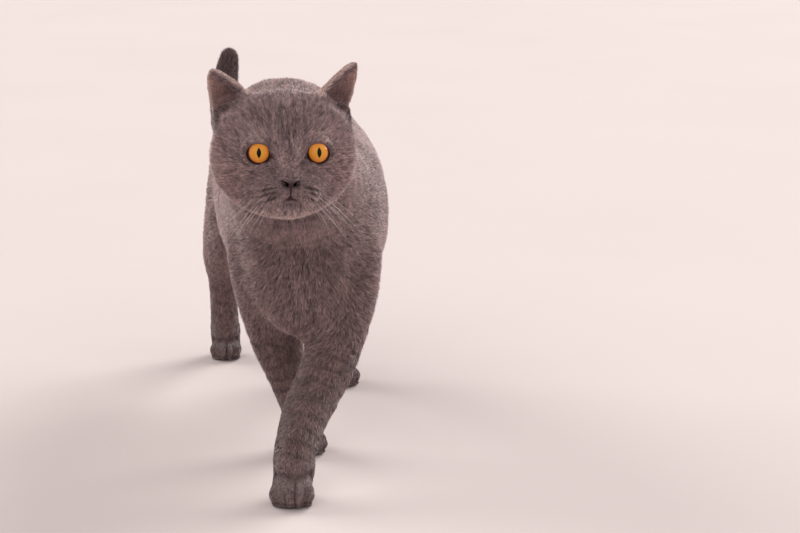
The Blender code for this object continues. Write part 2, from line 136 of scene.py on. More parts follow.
eyeMiddle = (middleOf("eye_left") + middleOf("eye_right")) / 2
headTurn = headAxes()
headOrigin = asArray(eyeMiddle) + headTurn[:, 1] * headPose["eyesAhead"]


def toHead(points):
    return (points - headOrigin) @ headTurn


def fromHead(points):
    return np.asarray(points) @ headTurn.T + headOrigin


# the solids that make up the cat's flesh, and the coat on each

regionCoat = {
    # hair length, lift of the root half and of the tip half in degrees, hair width
    "head": (0.0072, 32, 14, 0.00050),
    "nose": (0.0018, 20, 8, 0.00040),
    "ear_left": (0.0030, 22, 8, 0.00042),
    "ear_right": (0.0030, 22, 8, 0.00042),
    "neck": (0.0076, 37, 18, 0.00054),
    "chest": (0.0072, 40, 20, 0.00054),
    "belly": (0.0080, 36, 17, 0.00062),
    "rump": (0.0080, 36, 17, 0.00062),
    "foreleg_left_upper": (0.0064, 40, 22, 0.00054),
    "foreleg_right_upper": (0.0064, 40, 22, 0.00054),
    "foreleg_left_lower": (0.0052, 36, 18, 0.00050),
    "foreleg_right_lower": (0.0052, 36, 18, 0.00050),
    "foreleg_left_paw": (0.0032, 28, 10, 0.00046),
    "foreleg_right_paw": (0.0032, 28, 10, 0.00046),
    "hindleg_left_upper": (0.0074, 38, 20, 0.00060),
    "hindleg_right_upper": (0.0074, 38, 20, 0.00060),
    "hindleg_left_lower": (0.0054, 36, 18, 0.00054),
    "hindleg_right_lower": (0.0054, 36, 18, 0.00054),
    "hindleg_left_paw": (0.0034, 28, 10, 0.00050),
    "hindleg_right_paw": (0.0034, 28, 10, 0.00050),
    "tail_base": (0.0084, 40, 22, 0.00064),
    "tail_middle": (0.0080, 40, 22, 0.00064),
    "tail_bend": (0.0080, 40, 22, 0.00064),
    "tail_tip": (0.0076, 40, 22, 0.00062),
}
fleshNodes = list(regionCoat)
regionIndex = {name: i for i, name in enumerate(fleshNodes)}
tailOrder = ("tail_base", "tail_middle", "tail_bend", "tail_tip")
legNames = ("foreleg_left", "foreleg_right", "hindleg_left", "hindleg_right")

skinShape = {
    "overlap": 0.00035,       # each flesh solid swells by this, so that the thin cuts close
    "eyeOverlap": 0.0006,
    "voxel": 0.0019,
    "evening": 8,             # rounds of smoothing once joined
    "keenEvening": 1,         # rounds on ears and feet
    "seamEvening": 40,        # rounds where two solids meet
    "earFootEvening": 26,     # rounds on the outer feet of the ears
    "earFootIn": 0.0011,      # and how far those are pressed in
    "lidEvening": 16,         # rounds round the eyes
    "armpitEvening": 34,      # rounds where the breast goes over into the legs
    "soleDepth": 0.0003,      # how far the skin goes in under the paws
    "cupDepth": 0.0005,       # and in the cups of the ears
    "floorGap": 0.0002,       # no skin lies lower than this over the floor
    "hullShare": 1.18,        # the longest hairs stand this much over the mean one
    "fineReach": 0.078,       # the face is made finer this far from the nose
}

eyeShape = {
    "openingWide": 0.0097,    # half sizes of the opening between the lids
    "openingHigh": 0.0080,
    "openingOut": 0.0008,     # it sits this far outward on the ball
    "openingPower": 2.2,      # 2 makes an oval, more makes it squarer
    # where the edge leaves that oval: direction from outward by way of up, change, width in radians
    "bends": ((3.50, 0.125, 0.42), (2.35, -0.075, 0.55), (0.1, 0.02, 0.3)),
    # the dark inner corner: its direction, its width and how far it runs past the lid's edge
    "cornerAt": 3.50,
    "cornerWide": 0.42,
    "cornerLong": 0.36,
    "socketDeep": 0.0016,
    "lidProud": 0.0012,
    "lidSlope": 0.0085,       # the flesh may rise this much per radian away from the lid's edge
}

noseShape = {
    "tip": (0.0, -0.0575, -0.0200),
    "top": -0.0146,
    "furredTo": -0.0194,      # the coat comes down over the top of the leather as far as this
    "bottom": -0.0264,
    "halfWide": 0.0092,
}
noseTip = np.array(noseShape["tip"])


def readNode(name, swell):
    # a node's points, pushed outward along their normals, and its faces
    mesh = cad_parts[name].data
    merged = bmesh.new()
    merged.from_mesh(mesh)
    bmesh.ops.remove_doubles(merged, verts=merged.verts, dist=1e-6)
    merged.normal_update()
    points = [v.co + v.normal * swell for v in merged.verts]
    faces = [[v.index for v in f.verts] for f in merged.faces]
    merged.free()
    return points, faces


def joinedFlesh():
    # every flesh solid and both eyeballs in one mesh, with the node that each face came from
    points, faces, owners = [], [], []
    for name in fleshNodes + ["eye_left", "eye_right"]:
        swell = skinShape["eyeOverlap"] if name.startswith("eye") else skinShape["overlap"]
        more, sides = readNode(name, swell)
        start = len(points)
        points += more
        faces += [[start + i for i in side] for side in sides]
        owners += [regionIndex.get(name, regionIndex["head"])] * len(sides)
    return points, faces, owners


def edgesOf(mesh):
    pairs = np.empty(len(mesh.edges) * 2, np.int32)
    mesh.edges.foreach_get("vertices", pairs)
    return pairs.reshape(-1, 2)


def pointsOf(mesh):
    flat = np.empty(len(mesh.vertices) * 3, np.float32)
    mesh.vertices.foreach_get("co", flat)
    return flat.reshape(-1, 3).astype(float)


def normalsOf(mesh):
    flat = np.empty(len(mesh.vertices) * 3, np.float32)
    mesh.vertex_normals.foreach_get("vector", flat)
    return flat.reshape(-1, 3).astype(float)


def setPoints(mesh, points):
    mesh.vertices.foreach_set("co", points.astype(np.float32).ravel())
    mesh.update()


def spread(values, pairs, rounds, share=0.5):
    # evens a value out over the mesh; share may differ from point to point
    values = np.asarray(values, float).copy()
    flat = values.reshape(len(values), -1)
    count = len(flat)
    one, two = pairs[:, 0], pairs[:, 1]
    degree = np.bincount(one, minlength=count) + np.bincount(two, minlength=count)
    degree = np.maximum(degree, 1)
    share = np.broadcast_to(np.asarray(share, float), (count,))
    for _ in range(rounds):
        for k in range(flat.shape[1]):
            column = flat[:, k]
            around = np.bincount(one, column[two], count) + np.bincount(two, column[one], count)
            flat[:, k] = column + (around / degree - column) * share
    return flat.reshape(values.shape)


def neighboursOf(mesh):
    # pairs of points along the edges of every face and across its corners
    pairs = set()
    for face in mesh.polygons:
        ends = face.vertices[:]
        for i, a in enumerate(ends):
            for b in ends[i + 1:]:
                pairs.add((a, b) if a < b else (b, a))
    return np.array(sorted(pairs))


def combed(values, points, pairs, way, rounds):
    # evens a value out along the way the hair lies and not across it, so that it runs in streaks
    one, two = pairs[:, 0], pairs[:, 1]
    count = len(values)
    step = unit(points[two] - points[one])
    weight = np.sum(step * unit(way[one] + way[two]), axis=1) ** 10 + 1e-6
    total = np.bincount(one, weight, count) + np.bincount(two, weight, count)
    for _ in range(rounds):
        around = np.bincount(one, weight * values[two], count)
        around += np.bincount(two, weight * values[one], count)
        values = mix(values, around / np.maximum(total, 1e-9), 0.6)
    return values / values.std()


def keepLargest(mesh):
    # drops bubbles that the remesh may leave inside
    bm = bmesh.new()
    bm.from_mesh(mesh)
    left, groups = set(bm.verts), []
    while left:
        seed = left.pop()
        group, todo = [seed], [seed]
        while todo:
            for edge in todo.pop().link_edges:
                for v in edge.verts:
                    if v in left:
                        left.remove(v)
                        group.append(v)
                        todo.append(v)
        groups.append(group)
    groups.sort(key=len)
    for group in groups[:-1]:
        bmesh.ops.delete(bm, geom=group, context="VERTS")
    bm.to_mesh(mesh)
    bm.free()


def regionsOf(points, tree, owners):
    return np.array([owners[tree.find_nearest(Vector(p))[2]] for p in points])


def regionNumbers(starts):
    return [i for name, i in regionIndex.items() if name.startswith(starts)]


def isRegion(region, *starts):
    return np.isin(region, regionNumbers(starts))


def shareOf(shares, *starts):
    # how far a place belongs to these regions, where each region fades into the next
    return shares[:, regionNumbers(starts)].sum(1)


earShape = {
    # each ear: side of the head, lean and turn in degrees, height over its foot
    "ear_left": (1, 23, 32, 0.0475),
    "ear_right": (-1, 28, 14, 0.0415),
    "foot": (0.0380, 0.006, 0.031),
    "root": 0.018,            # how far the ear runs on below its foot
    "halfWide": 0.0225,
    "tipBack": 6,             # how far its tip leans back, in degrees
}


def earFrame(name):
    # where an ear stands on the head, and its own axes
    side, lean, turn, _ = earShape[name]
    turned = (
        Matrix.Rotation(math.radians(lean) * side, 3, "Y")
        @ Matrix.Rotation(math.radians(turn) * side, 3, "Z")
        @ Matrix.Rotation(math.radians(earShape["tipBack"]), 3, "X")
    )
    axes = headTurn @ np.array(turned)
    x, y, z = earShape["foot"]
    return fromHead(np.array((x * side, y, z))), axes


ears = {name: earFrame(name) for name in ("ear_left", "ear_right")}


def earPlaces(points):
    # each ear's own coordinates, X outward; how far up it, and how far from its outer and inner rims
    for name, (base, axes) in ears.items():
        side, _, _, high = earShape[name]
        local = (points - base) @ axes * np.array((side, 1, 1))
        tall = high + earShape["root"]
        up = np.clip((local[:, 2] + earShape["root"]) / tall, 0, 1)
        half = earShape["halfWide"] * (1 - up ** 1.4) ** 0.66
        yield name, local, up, half - local[:, 0], half + local[:, 0]


def earCup(points, normals, region):
    # 1 inside the cup of an ear, 0 on its back
    inside = np.zeros(len(points))
    for name, local, _, _, _ in earPlaces(points):
        facing = -(normals @ ears[name][1])[:, 1]
        near = (local[:, 2] > 0.008) & (np.abs(local[:, 0]) < 0.024) & (np.abs(local[:, 1]) < 0.022)
        mine = isRegion(region, name) | (isRegion(region, "head") & near)
        inside = np.where(mine, smoothStep(-0.05, 0.35, facing), inside)
    return inside


hairLook = {
    # the hair of the face grows longer and wider away from the nose
    "faceLength": (0.0021, 0.0088),
    "faceWidth": (0.00036, 0.00052),
    "faceLift": 27,           # of its root half, in degrees
    "crownShare": 0.80,       # the hair over the forehead is this much as long
    "soleLength": 0.0008,
    # in the cups of the ears it is short, and longer towards the inner rim
    "cupLength": 0.0019,
    "cupTuft": 0.0058,
    "cupLift": 16,
    "innerRimLength": 0.0015,
    "outerRimLength": 0.0013,
    "earTipLength": 0.0014,
    "earFootLess": 0.78,      # shorter and flatter by this share at the outer foot of each ear
    "lidLength": 0.0020,      # close round the eyes
    "lidLift": 12,
    "lipLength": 0.0011,
}


def hairValues(points, normals, region):
    # length, root lift, tip lift and width of the hair at each place, before they are evened out
    table = np.array([regionCoat[name] for name in fleshNodes], float)
    values = table[region]
    values[:, 1:3] = np.radians(values[:, 1:3])
    local = toHead(points)
    fromNose = np.linalg.norm(local - noseTip, axis=1)
    onHead = isRegion(region, "head", "nose")
    length = mix(*hairLook["faceLength"], smoothStep(0.008, 0.072, fromNose))
    length *= mix(1.0, hairLook["crownShare"], smoothStep(0.010, 0.030, local[:, 2]))
    width = mix(*hairLook["faceWidth"], smoothStep(0.02, 0.07, fromNose))
    values[:, 0] = np.where(onHead, length, values[:, 0])
    values[:, 3] = np.where(onHead, width, values[:, 3])
    face = onHead & (local[:, 1] < -0.004)
    values[:, 1] = np.where(face, math.radians(hairLook["faceLift"]), values[:, 1])
    sole = (points[:, 2] < 0.004) & (normals[:, 2] < -0.5)
    values[:, 0] = np.where(sole, hairLook["soleLength"], values[:, 0])
    cup = earCup(points, normals, region)
    for name, place, up, toOuter, toInner in earPlaces(points):
        tuft = smoothStep(0.016, 0.004, toInner) * smoothStep(0.96, 0.60, up)
        length = mix(values[:, 0], hairLook["cupLength"] + hairLook["cupTuft"] * tuft, cup)
        innerRim = smoothStep(0.0045, 0.0015, toInner) * (toInner < toOuter)
        length = mix(length, hairLook["innerRimLength"], innerRim)
        length = mix(length, hairLook["outerRimLength"], smoothStep(0.0050, 0.0015, toOuter))
        length = mix(length, hairLook["earTipLength"], smoothStep(0.90, 0.97, up))
        values[:, 0] = np.where(isRegion(region, name), length, values[:, 0])
        outerFoot = hump(place[:, 0], 0.019, 0.011) * hump(place[:, 2], 0.002, 0.013)
        outerFoot *= np.abs(place[:, 1]) < 0.03
        values[:, :2] *= (1 - hairLook["earFootLess"] * outerFoot)[:, None]
    values[:, 1] = mix(values[:, 1], math.radians(hairLook["cupLift"]), cup)
    return values


def depthOf(values):
    # how far the tips stand over the skin
    return values[:, 0] * (np.sin(values[:, 1]) + np.sin(values[:, 2])) / 2


def eyePlace(side):
    # the ball's middle and radius
    node = "eye_left" if side > 0 else "eye_right"
    low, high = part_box(node)
    return asArray((low + high) / 2), (high.x - low.x) / 2


def turnGap(around, at):
    # the angle between two directions round the opening, whichever way it is shorter
    return np.abs((around - at + math.pi) % (2 * math.pi) - math.pi)


def openingAngle(side, around):
    # how far the lid's edge lies from the middle of the opening, as an angle at the ball's middle
    _, radius = eyePlace(side)
    power = eyeShape["openingPower"]
    across = np.abs(np.cos(around)) / eyeShape["openingWide"]
    up = np.abs(np.sin(around)) / eyeShape["openingHigh"]
    reach = 1 / (across ** power + up ** power) ** (1 / power)
    for at, change, wide in eyeShape["bends"]:
        reach = reach * (1 + change * hump(turnGap(around, at), 0, wide))
    return np.arcsin(np.minimum(reach / radius, 0.985))


def aroundEye(points, side):
    # distance from the ball's middle, angle past the lid's edge, and direction round the opening
    centre, radius = eyePlace(side)
    local = (points - centre) @ headTurn
    distance = np.linalg.norm(local, axis=1)
    tilt = eyeShape["openingOut"] / radius
    x = local[:, 0] * side
    axis = np.array([math.sin(tilt), -math.cos(tilt)])
    ahead = x * axis[0] + local[:, 1] * axis[1]
    across = x * axis[1] * -1 + local[:, 1] * axis[0]
    around = np.arctan2(local[:, 2], across)
    wide = np.hypot(across, local[:, 2])
    angle = np.arctan2(wide, ahead)
    # flesh that stands before the ball is measured by how far it lies beside the opening
    overBall = np.arcsin(np.minimum(wide / radius, 1))
    beside = np.where(wide < radius, overBall, math.pi / 2 + wide / radius - 1)
    angle = np.where(ahead > 0, np.maximum(angle, beside), angle)
    return distance, angle - openingAngle(side, around), around


def eyeCorners(points):
    # 1 in the dark inner corners of the eyes
    share = np.zeros(len(points))
    for side in (1, -1):
        distance, past, around = aroundEye(points, side)
        turned = turnGap(around, eyeShape["cornerAt"] + 0.12)
        near = smoothStep(eyeShape["cornerLong"], 0.16, past) * (distance < 0.019)
        share = np.maximum(share, hump(turned, 0, eyeShape["cornerWide"]) * near)
    return share


def fromEye(side, angle, around, distance):
    # the point at that angle from the middle of the opening
    centre, radius = eyePlace(side)
    tilt = eyeShape["openingOut"] / radius
    across, up = np.sin(angle) * np.cos(around), np.sin(angle) * np.sin(around)
    ahead = np.cos(angle)
    x = (across * math.cos(tilt) + ahead * math.sin(tilt)) * side
    y = across * math.sin(tilt) - ahead * math.cos(tilt)
    local = np.stack([x, y, up], -1) * np.asarray(distance)[..., None]
    return local @ headTurn.T + centre


def setSockets(points):
    # inside the lids the skin goes behind the ball, outside them it lies just over it
    for side in (1, -1):
        centre, radius = eyePlace(side)
        distance, past, _ = aroundEye(points, side)
        direction = unit(points - centre)
        proud = radius + eyeShape["lidProud"]
        near = distance < radius + 0.012
        highest = proud + 0.0002 + eyeShape["lidSlope"] * np.maximum(past, 0)
        outside = np.minimum(np.maximum(distance, proud), np.where(past < 0.6, highest, 9))
        target = np.where((past < 0.008) & near, radius - eyeShape["socketDeep"], outside)
        moved = centre + direction * target[:, None]
        points = np.where((near & (past < 1.1))[:, None], moved, points)
    return points


def lineDistance(points, route):
    # how far each point is from a bent line, and how far along it, from 0 to 1
    best = np.full(len(points), 9.0)
    along = np.zeros(len(points))
    steps = len(route) - 1
    for i in range(steps):
        a, b = np.asarray(route[i], float), np.asarray(route[i + 1], float)
        way = b - a
        t = np.clip(((points - a) @ way) / (way @ way), 0, 1)
        gap = np.linalg.norm(points - a - t[:, None] * way, axis=1)
        closer = gap < best
        best = np.where(closer, gap, best)
        along = np.where(closer, (i + t) / steps, along)
    return best, along


# lines drawn on the muzzle in the head's X and Z
mouthLine = [(0.0, -0.0342), (0.0020, -0.0352), (0.0040, -0.0362), (0.0058, -0.0372)]
philtrumLine = [(0.0, -0.0255), (0.0, -0.0342)]
whiskerRows = [
    [(0.0096, -0.0252), (0.0170, -0.0268), (0.0262, -0.0298)],
    [(0.0098, -0.0286), (0.0178, -0.0309), (0.0270, -0.0348)],
    [(0.0092, -0.0322), (0.0160, -0.0349), (0.0232, -0.0392)],
]
muzzleShape = {
    # how deep or proud each line is, and how wide
    "mouth": (0.0016, 0.00085),
    "parting": (0.0010, 0.00070),
    "whiskerRow": (0.00040, 0.0009),
    "lip": (0.0005, 0.0011),
    "lipAway": 0.0022,        # from the line of the mouth to the swell of the lip
    "noseRoom": 0.0045,       # how far the skin goes back behind the nose leather
}


def mirrored(local):
    return np.stack([np.abs(local[:, 0]), local[:, 2]], -1)


def sculptMuzzle(points, normals):
    local = toHead(points)
    front = smoothStep(-0.030, -0.040, local[:, 1])
    flat = mirrored(local)
    mouth, along = lineDistance(flat, mouthLine)
    deep, wide = muzzleShape["mouth"]
    groove = deep * hump(mouth, 0, wide) * (1 - 0.9 * along)
    parting, _ = lineDistance(flat, philtrumLine)
    deep, wide = muzzleShape["parting"]
    groove += deep * hump(parting, 0, wide)
    deep, wide = muzzleShape["whiskerRow"]
    for row in whiskerRows:
        gap, t = lineDistance(flat, row)
        groove += deep * hump(gap, 0, wide) * np.sin(np.pi * np.clip(t, 0.05, 0.95))
    proud, wide = muzzleShape["lip"]
    lip = proud * hump(mouth, muzzleShape["lipAway"], wide) * (1 - 0.8 * along)
    points = points + normals * ((lip - groove) * front)[:, None]
    # room behind the nose leather
    inNose = smoothStep(0.0072, 0.0052, np.abs(local[:, 0]))
    inNose *= smoothStep(noseShape["bottom"], noseShape["bottom"] + 0.003, local[:, 2])
    inNose *= smoothStep(noseShape["furredTo"] + 0.0004, noseShape["furredTo"] - 0.0012, local[:, 2])
    inNose *= smoothStep(-0.044, -0.048, local[:, 1])
    return points + headTurn[:, 1] * (inNose * muzzleShape["noseRoom"])[:, None]


pawShape = {
    "fullWide": 0.042,        # the sizes below are for a paw this wide, and follow each paw's own width
    "toeSpacing": 0.0086,
    "grooveDeep": 0.0012,
    "grooveWide": 0.0011,
    "sideGrooves": 0.35,      # the grooves beside the outer toes are this share as deep
    "toeLong": 0.016,
    "toeProud": 0.0004,
    "wristHigh": 0.0245,
    "wristDeep": 0.0020,
    "wristWide": 0.0036,
    "tuckIn": 0.0022,         # the sides go in by this towards the sole
}
pawTurns = {
    # how far each paw is turned, in degrees
    "foreleg_left_paw": -6,
    "foreleg_right_paw": 5,
    "hindleg_left_paw": 4,
    "hindleg_right_paw": -4,
}


def pawPlaces(points):
    # each paw's own flat coordinates: across, back from the toes' ends, and up
    for name, turn in pawTurns.items():
        low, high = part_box(name)
        a = math.radians(turn)
        start = np.array([(low.x + high.x) / 2, low.y])
        offset = points[:, :2] - start
        across = offset[:, 0] * math.cos(a) + offset[:, 1] * math.sin(a)
        back = -offset[:, 0] * math.sin(a) + offset[:, 1] * math.cos(a)
        size = (high.x - low.x) / pawShape["fullWide"]
        close = np.abs(across) < 0.026
        mine = close & (back < 0.024 * size) & (back > -0.01) & (points[:, 2] < 0.034)
        yield across / size, np.where(close, back / size, 9.0), points[:, 2] / size, mine


def toeGrooves(points):
    # how deep the skin goes in between the toes
    deep = np.zeros(len(points))
    for across, back, up, mine in pawPlaces(points):
        fade = smoothStep(pawShape["toeLong"], 0.007, back) * smoothStep(0.021, 0.014, up)
        middle = smoothStep(0.024, 0.015, back) * smoothStep(0.024, 0.020, up)
        middle *= mix(0.35, 1.0, smoothStep(0.006, 0.012, up))
        for toe in (-1, 0, 1):
            gap = np.abs(across - toe * pawShape["toeSpacing"])
            share = middle if toe == 0 else fade * pawShape["sideGrooves"]
            deep += mine * share * hump(gap, 0, pawShape["grooveWide"])
    return deep


def pawRelief(points):
    # grooves and swells of the toes, and the fold where the wrist meets the paw
    relief = -toeGrooves(points) * pawShape["grooveDeep"]
    for across, back, up, mine in pawPlaces(points):
        fade = smoothStep(pawShape["toeLong"], 0.008, back) * smoothStep(0.024, 0.014, up)
        wave = -np.cos(across / pawShape["toeSpacing"] * 2 * math.pi)
        relief += mine * fade * pawShape["toeProud"] * wave
    return relief - wristFold(points) * pawShape["wristDeep"]


def wristFold(points):
    fold = np.zeros(len(points))
    for _, back, up, _ in pawPlaces(points):
        near = (back < 0.028) & (back > -0.01)
        fold = np.maximum(fold, hump(up, pawShape["wristHigh"], pawShape["wristWide"]) * near)
    return fold


def refine(mesh, chosen):
    # halves the faces whose points are all chosen
    bm = bmesh.new()
    bm.from_mesh(mesh)
    bm.verts.ensure_lookup_table()
    edges = [e for e in bm.edges if chosen[e.verts[0].index] and chosen[e.verts[1].index]]
    bmesh.ops.subdivide_edges(bm, edges=edges, cuts=1, use_grid_fill=True)
    bmesh.ops.triangulate(bm, faces=[f for f in bm.faces if len(f.verts) > 4])
    bm.to_mesh(mesh)
    bm.free()


def joinSkin(cage, faces):
    # one closed mesh round all the solids
    mesh = bpy.data.meshes.new("skin")
    mesh.from_pydata(cage, [], faces)
    obj = newObject("skin", mesh)
    joining = obj.modifiers.new("join", "REMESH")
    joining.mode = "VOXEL"
    joining.voxel_size = skinShape["voxel"]
    keepLargest(applyModifiers(obj))
    return obj


def evenBody(points, pairs, region, keen):
    # least on ears and feet, most in the armpits and where two solids meet
    points = spread(points, pairs, skinShape["keenEvening"])
    points = spread(points, pairs, skinShape["evening"], 0.5 * (1 - keen))
    armpit = smoothStep(0.085, 0.115, points[:, 2]) * smoothStep(0.205, 0.170, points[:, 2])
    armpit *= smoothStep(-0.030, -0.070, points[:, 1])
    points = spread(points, pairs, skinShape["armpitEvening"], 0.5 * armpit)
    shares = spread(np.eye(len(fleshNodes))[region], pairs, 9)
    seam = smoothStep(0.97, 0.75, shares.max(1)) * (1 - keen)
    seam *= smoothStep(-0.006, 0.006, toHead(points)[:, 1])
    return spread(points, pairs, skinShape["seamEvening"], 0.5 * spread(seam, pairs, 6))


def evenEarFeet(points, pairs):
    # the outer foot of each ear runs smoothly down into the head
    foot = np.zeros(len(points))
    for _, place, _, _, _ in earPlaces(points):
        close = (np.abs(place[:, 0]) < 0.034) & (np.abs(place[:, 1]) < 0.022)
        outer = smoothStep(0.008, 0.018, place[:, 0])
        foot = np.maximum(foot, hump(place[:, 2], -0.003, 0.009) * close * outer)
    points = spread(points, pairs, skinShape["earFootEvening"], 0.5 * foot)
    for name, place, _, _, _ in earPlaces(points):
        outward = ears[name][1][:, 0] * earShape[name][0]
        proud = hump(place[:, 0], 0.0265, 0.0075) * hump(place[:, 2], -0.004, 0.008)
        proud *= np.abs(place[:, 1]) < 0.022
        points = points - np.outer(skinShape["earFootIn"] * proud, outward)
    return points


def sinkUnderCoat(points, normals, pairs, region, keen):
    # the skin goes in by the coat's own depth, so that the coat and not the skin has the solids' size
    values = spread(hairValues(points, normals, region), pairs, 12)
    depth = depthOf(values) * skinShape["hullShare"] + skinShape["overlap"]
    cup = spread(earCup(points, normals, region), pairs, 2)
    depth = mix(depth, skinShape["cupDepth"], cup)
    sole = (points[:, 2] < 0.0035) & (normals[:, 2] < -0.5)
    depth = np.where(sole, skinShape["soleDepth"], depth)
    points = points - spread(normals, pairs, 3) * depth[:, None]
    return spread(points, pairs, 2, 0.4 * (1 - keen))


def refineSkin(mesh, points):
    # finer over face and feet, and finer again round the eyes and on the muzzle
    local = toHead(points)
    reach = np.linalg.norm(local - noseTip, axis=1)
    face = (reach < skinShape["fineReach"]) & (local[:, 1] < -0.010)
    refine(mesh, face | (points[:, 2] < 0.030))
    points, pairs = pointsOf(mesh), edgesOf(mesh)
    reach = np.linalg.norm(toHead(points) - noseTip, axis=1)
    points = spread(points, pairs, 2, 0.5 * (reach < 0.06))
    setPoints(mesh, points)
    local = toHead(points)
    nearEye = np.zeros(len(points), bool)
    for side in (1, -1):
        distance, past, _ = aroundEye(points, side)
        nearEye |= (past < 0.40) & (distance < 0.020)
    muzzle = (np.abs(local[:, 0]) < 0.024) & (local[:, 1] < -0.030)
    muzzle &= (local[:, 2] < -0.011) & (local[:, 2] > -0.052)
    refine(mesh, nearEye | muzzle)


def fitLids(points, pairs):
    # the skin sinks behind the balls, and the flesh round the openings is evened out
    points = setSockets(points)
    around = np.zeros(len(points))
    for side in (1, -1):
        distance, past, _ = aroundEye(points, side)
        ring = smoothStep(0.12, 0.30, past) * smoothStep(1.4, 0.9, past)
        around = np.maximum(around, ring * (distance < 0.024))
    points = setSockets(spread(points, pairs, skinShape["lidEvening"], 0.5 * around))
    chosen = np.linalg.norm(toHead(points) - noseTip, axis=1) < 0.035
    for side in (1, -1):
        chosen &= aroundEye(points, side)[1] > 0.12
    return spread(points, pairs, 3, 0.5 * chosen)


def sculptSkin(points, normals):
    # mouth and muzzle, the toes, and the sides of the paws drawn in towards the sole
    points = sculptMuzzle(points, normals)
    tuck = smoothStep(0.011, 0.002, points[:, 2]) * smoothStep(-0.9, -0.3, normals[:, 2])
    relief = pawRelief(points) - tuck * pawShape["tuckIn"]
    points = points + normals * relief[:, None]
    points[:, 2] = np.maximum(points[:, 2], skinShape["floorGap"])
    return points


def makeSkin():
    cage, faces, owners = joinedFlesh()
    tree = BVHTree.FromPolygons(cage, faces)
    obj = joinSkin(cage, faces)
    mesh = obj.data
    print("skin joined:", len(mesh.vertices), "points")
    points, pairs = pointsOf(mesh), edgesOf(mesh)
    region = regionsOf(points, tree, owners)
    keen = isRegion(region, "ear_left", "ear_right") | (points[:, 2] < 0.045)
    keen = spread(keen, pairs, 4)
    points = evenBody(points, pairs, region, keen)
    points = evenEarFeet(points, pairs)
    setPoints(mesh, points)
    points = sinkUnderCoat(points, normalsOf(mesh), pairs, region, keen)
    setPoints(mesh, points)
    refineSkin(mesh, points)
    points = fitLids(pointsOf(mesh), edgesOf(mesh))
    setPoints(mesh, points)
    points = sculptSkin(points, normalsOf(mesh))
    setPoints(mesh, points)
    smoothFaces(mesh)
    region = regionsOf(points, tree, owners)
    print("skin shaped:", len(mesh.vertices), "points,", len(mesh.polygons), "faces")
    return obj, region


# colours, the same on skin and coat

coatColours = {
    "body": srgb(118, 98, 96),
    "face": srgb(114, 94, 95),
    "cheek": srgb(122, 100, 98),
    "pale": srgb(164, 141, 135),
    "leg": srgb(113, 92, 90),
    "paw": srgb(114, 95, 94),
    "tail": srgb(74, 59, 60),
    "earCup": srgb(156, 122, 114),
    # painted shade in the fold below each ear
    "earDark": srgb(92, 68, 69),
    "earFoldShade": srgb(52, 34, 38),
    "lip": srgb(56, 33, 37),
    "lid": srgb(38, 18, 14),
    "sole": srgb(66, 52, 55),
}


def paint(colours, colour, share):
    return mix(colours, colour, np.clip(share, 0, 1)[:, None])


def limbAxis(name):
    upper, paw = asArray(middleOf(name + "_upper")), asArray(middleOf(name + "_paw"))
    return upper, unit(paw - upper)


earLook = {
    "rimFringeAndLight": 1.3,           # the rim, a pale fringe with painted rim light on it, is this much lighter than the pale hair
    "rimFringeAndLightShare": 0.85,
    "foldShadeShare": 0.85,        # how dark the painted shade in the fold below the ear is
}


def paintEars(colours, points, normals, region):
    # tan skin towards the outer edge, dark towards the inner edge and the root, and a rim that is partly
    # pale fringe and partly painted rim light
    cup = earCup(points, normals, region)
    for _, local, up, toOuter, toInner in earPlaces(points):
        tan = smoothStep(0.030, 0.004, toOuter) * smoothStep(0.36, 0.86, up)
        near = (np.abs(local[:, 0]) < 0.03) & (np.abs(local[:, 1]) < 0.03) & (local[:, 2] > -0.002)
        inside = mix(coatColours["earDark"], coatColours["earCup"], tan[:, None])
        inside = mix(inside, coatColours["face"], smoothStep(0.013, 0.006, toInner)[:, None])
        colours = np.where(near[:, None], mix(colours, inside, cup[:, None]), colours)
        # the rim: a pale fringe with painted rim light on it
        rim = smoothStep(0.0045, 0.0010, np.minimum(toOuter, toInner))
        rim = rim * near * smoothStep(0.004, 0.012, local[:, 2]) * earLook["rimFringeAndLightShare"]
        colours = paint(colours, coatColours["pale"] * earLook["rimFringeAndLight"], rim)
    return colours


def paintEarFoldShade(colours, local, share):
    # painted shade: a dark fold runs down from the outer foot of each ear, and a dark spot lies at the
    # root of its cup
    x, z = np.abs(local[:, 0]), local[:, 2]
    front = smoothStep(0.008, 0.003, local[:, 1]) * smoothStep(-0.018, -0.008, local[:, 1])
    fold = hump(x, 0.0530 + 0.08 * (0.026 - z), 0.0030)
    fold *= smoothStep(0.010, 0.018, z) * smoothStep(0.037, 0.031, z)
    spot = hump(x, 0.0475, 0.0055) * hump(z, 0.0335, 0.0034)
    dark = earLook["foldShadeShare"] * np.maximum(fold, spot) * front * share
    return paint(colours, coatColours["earFoldShade"], dark)


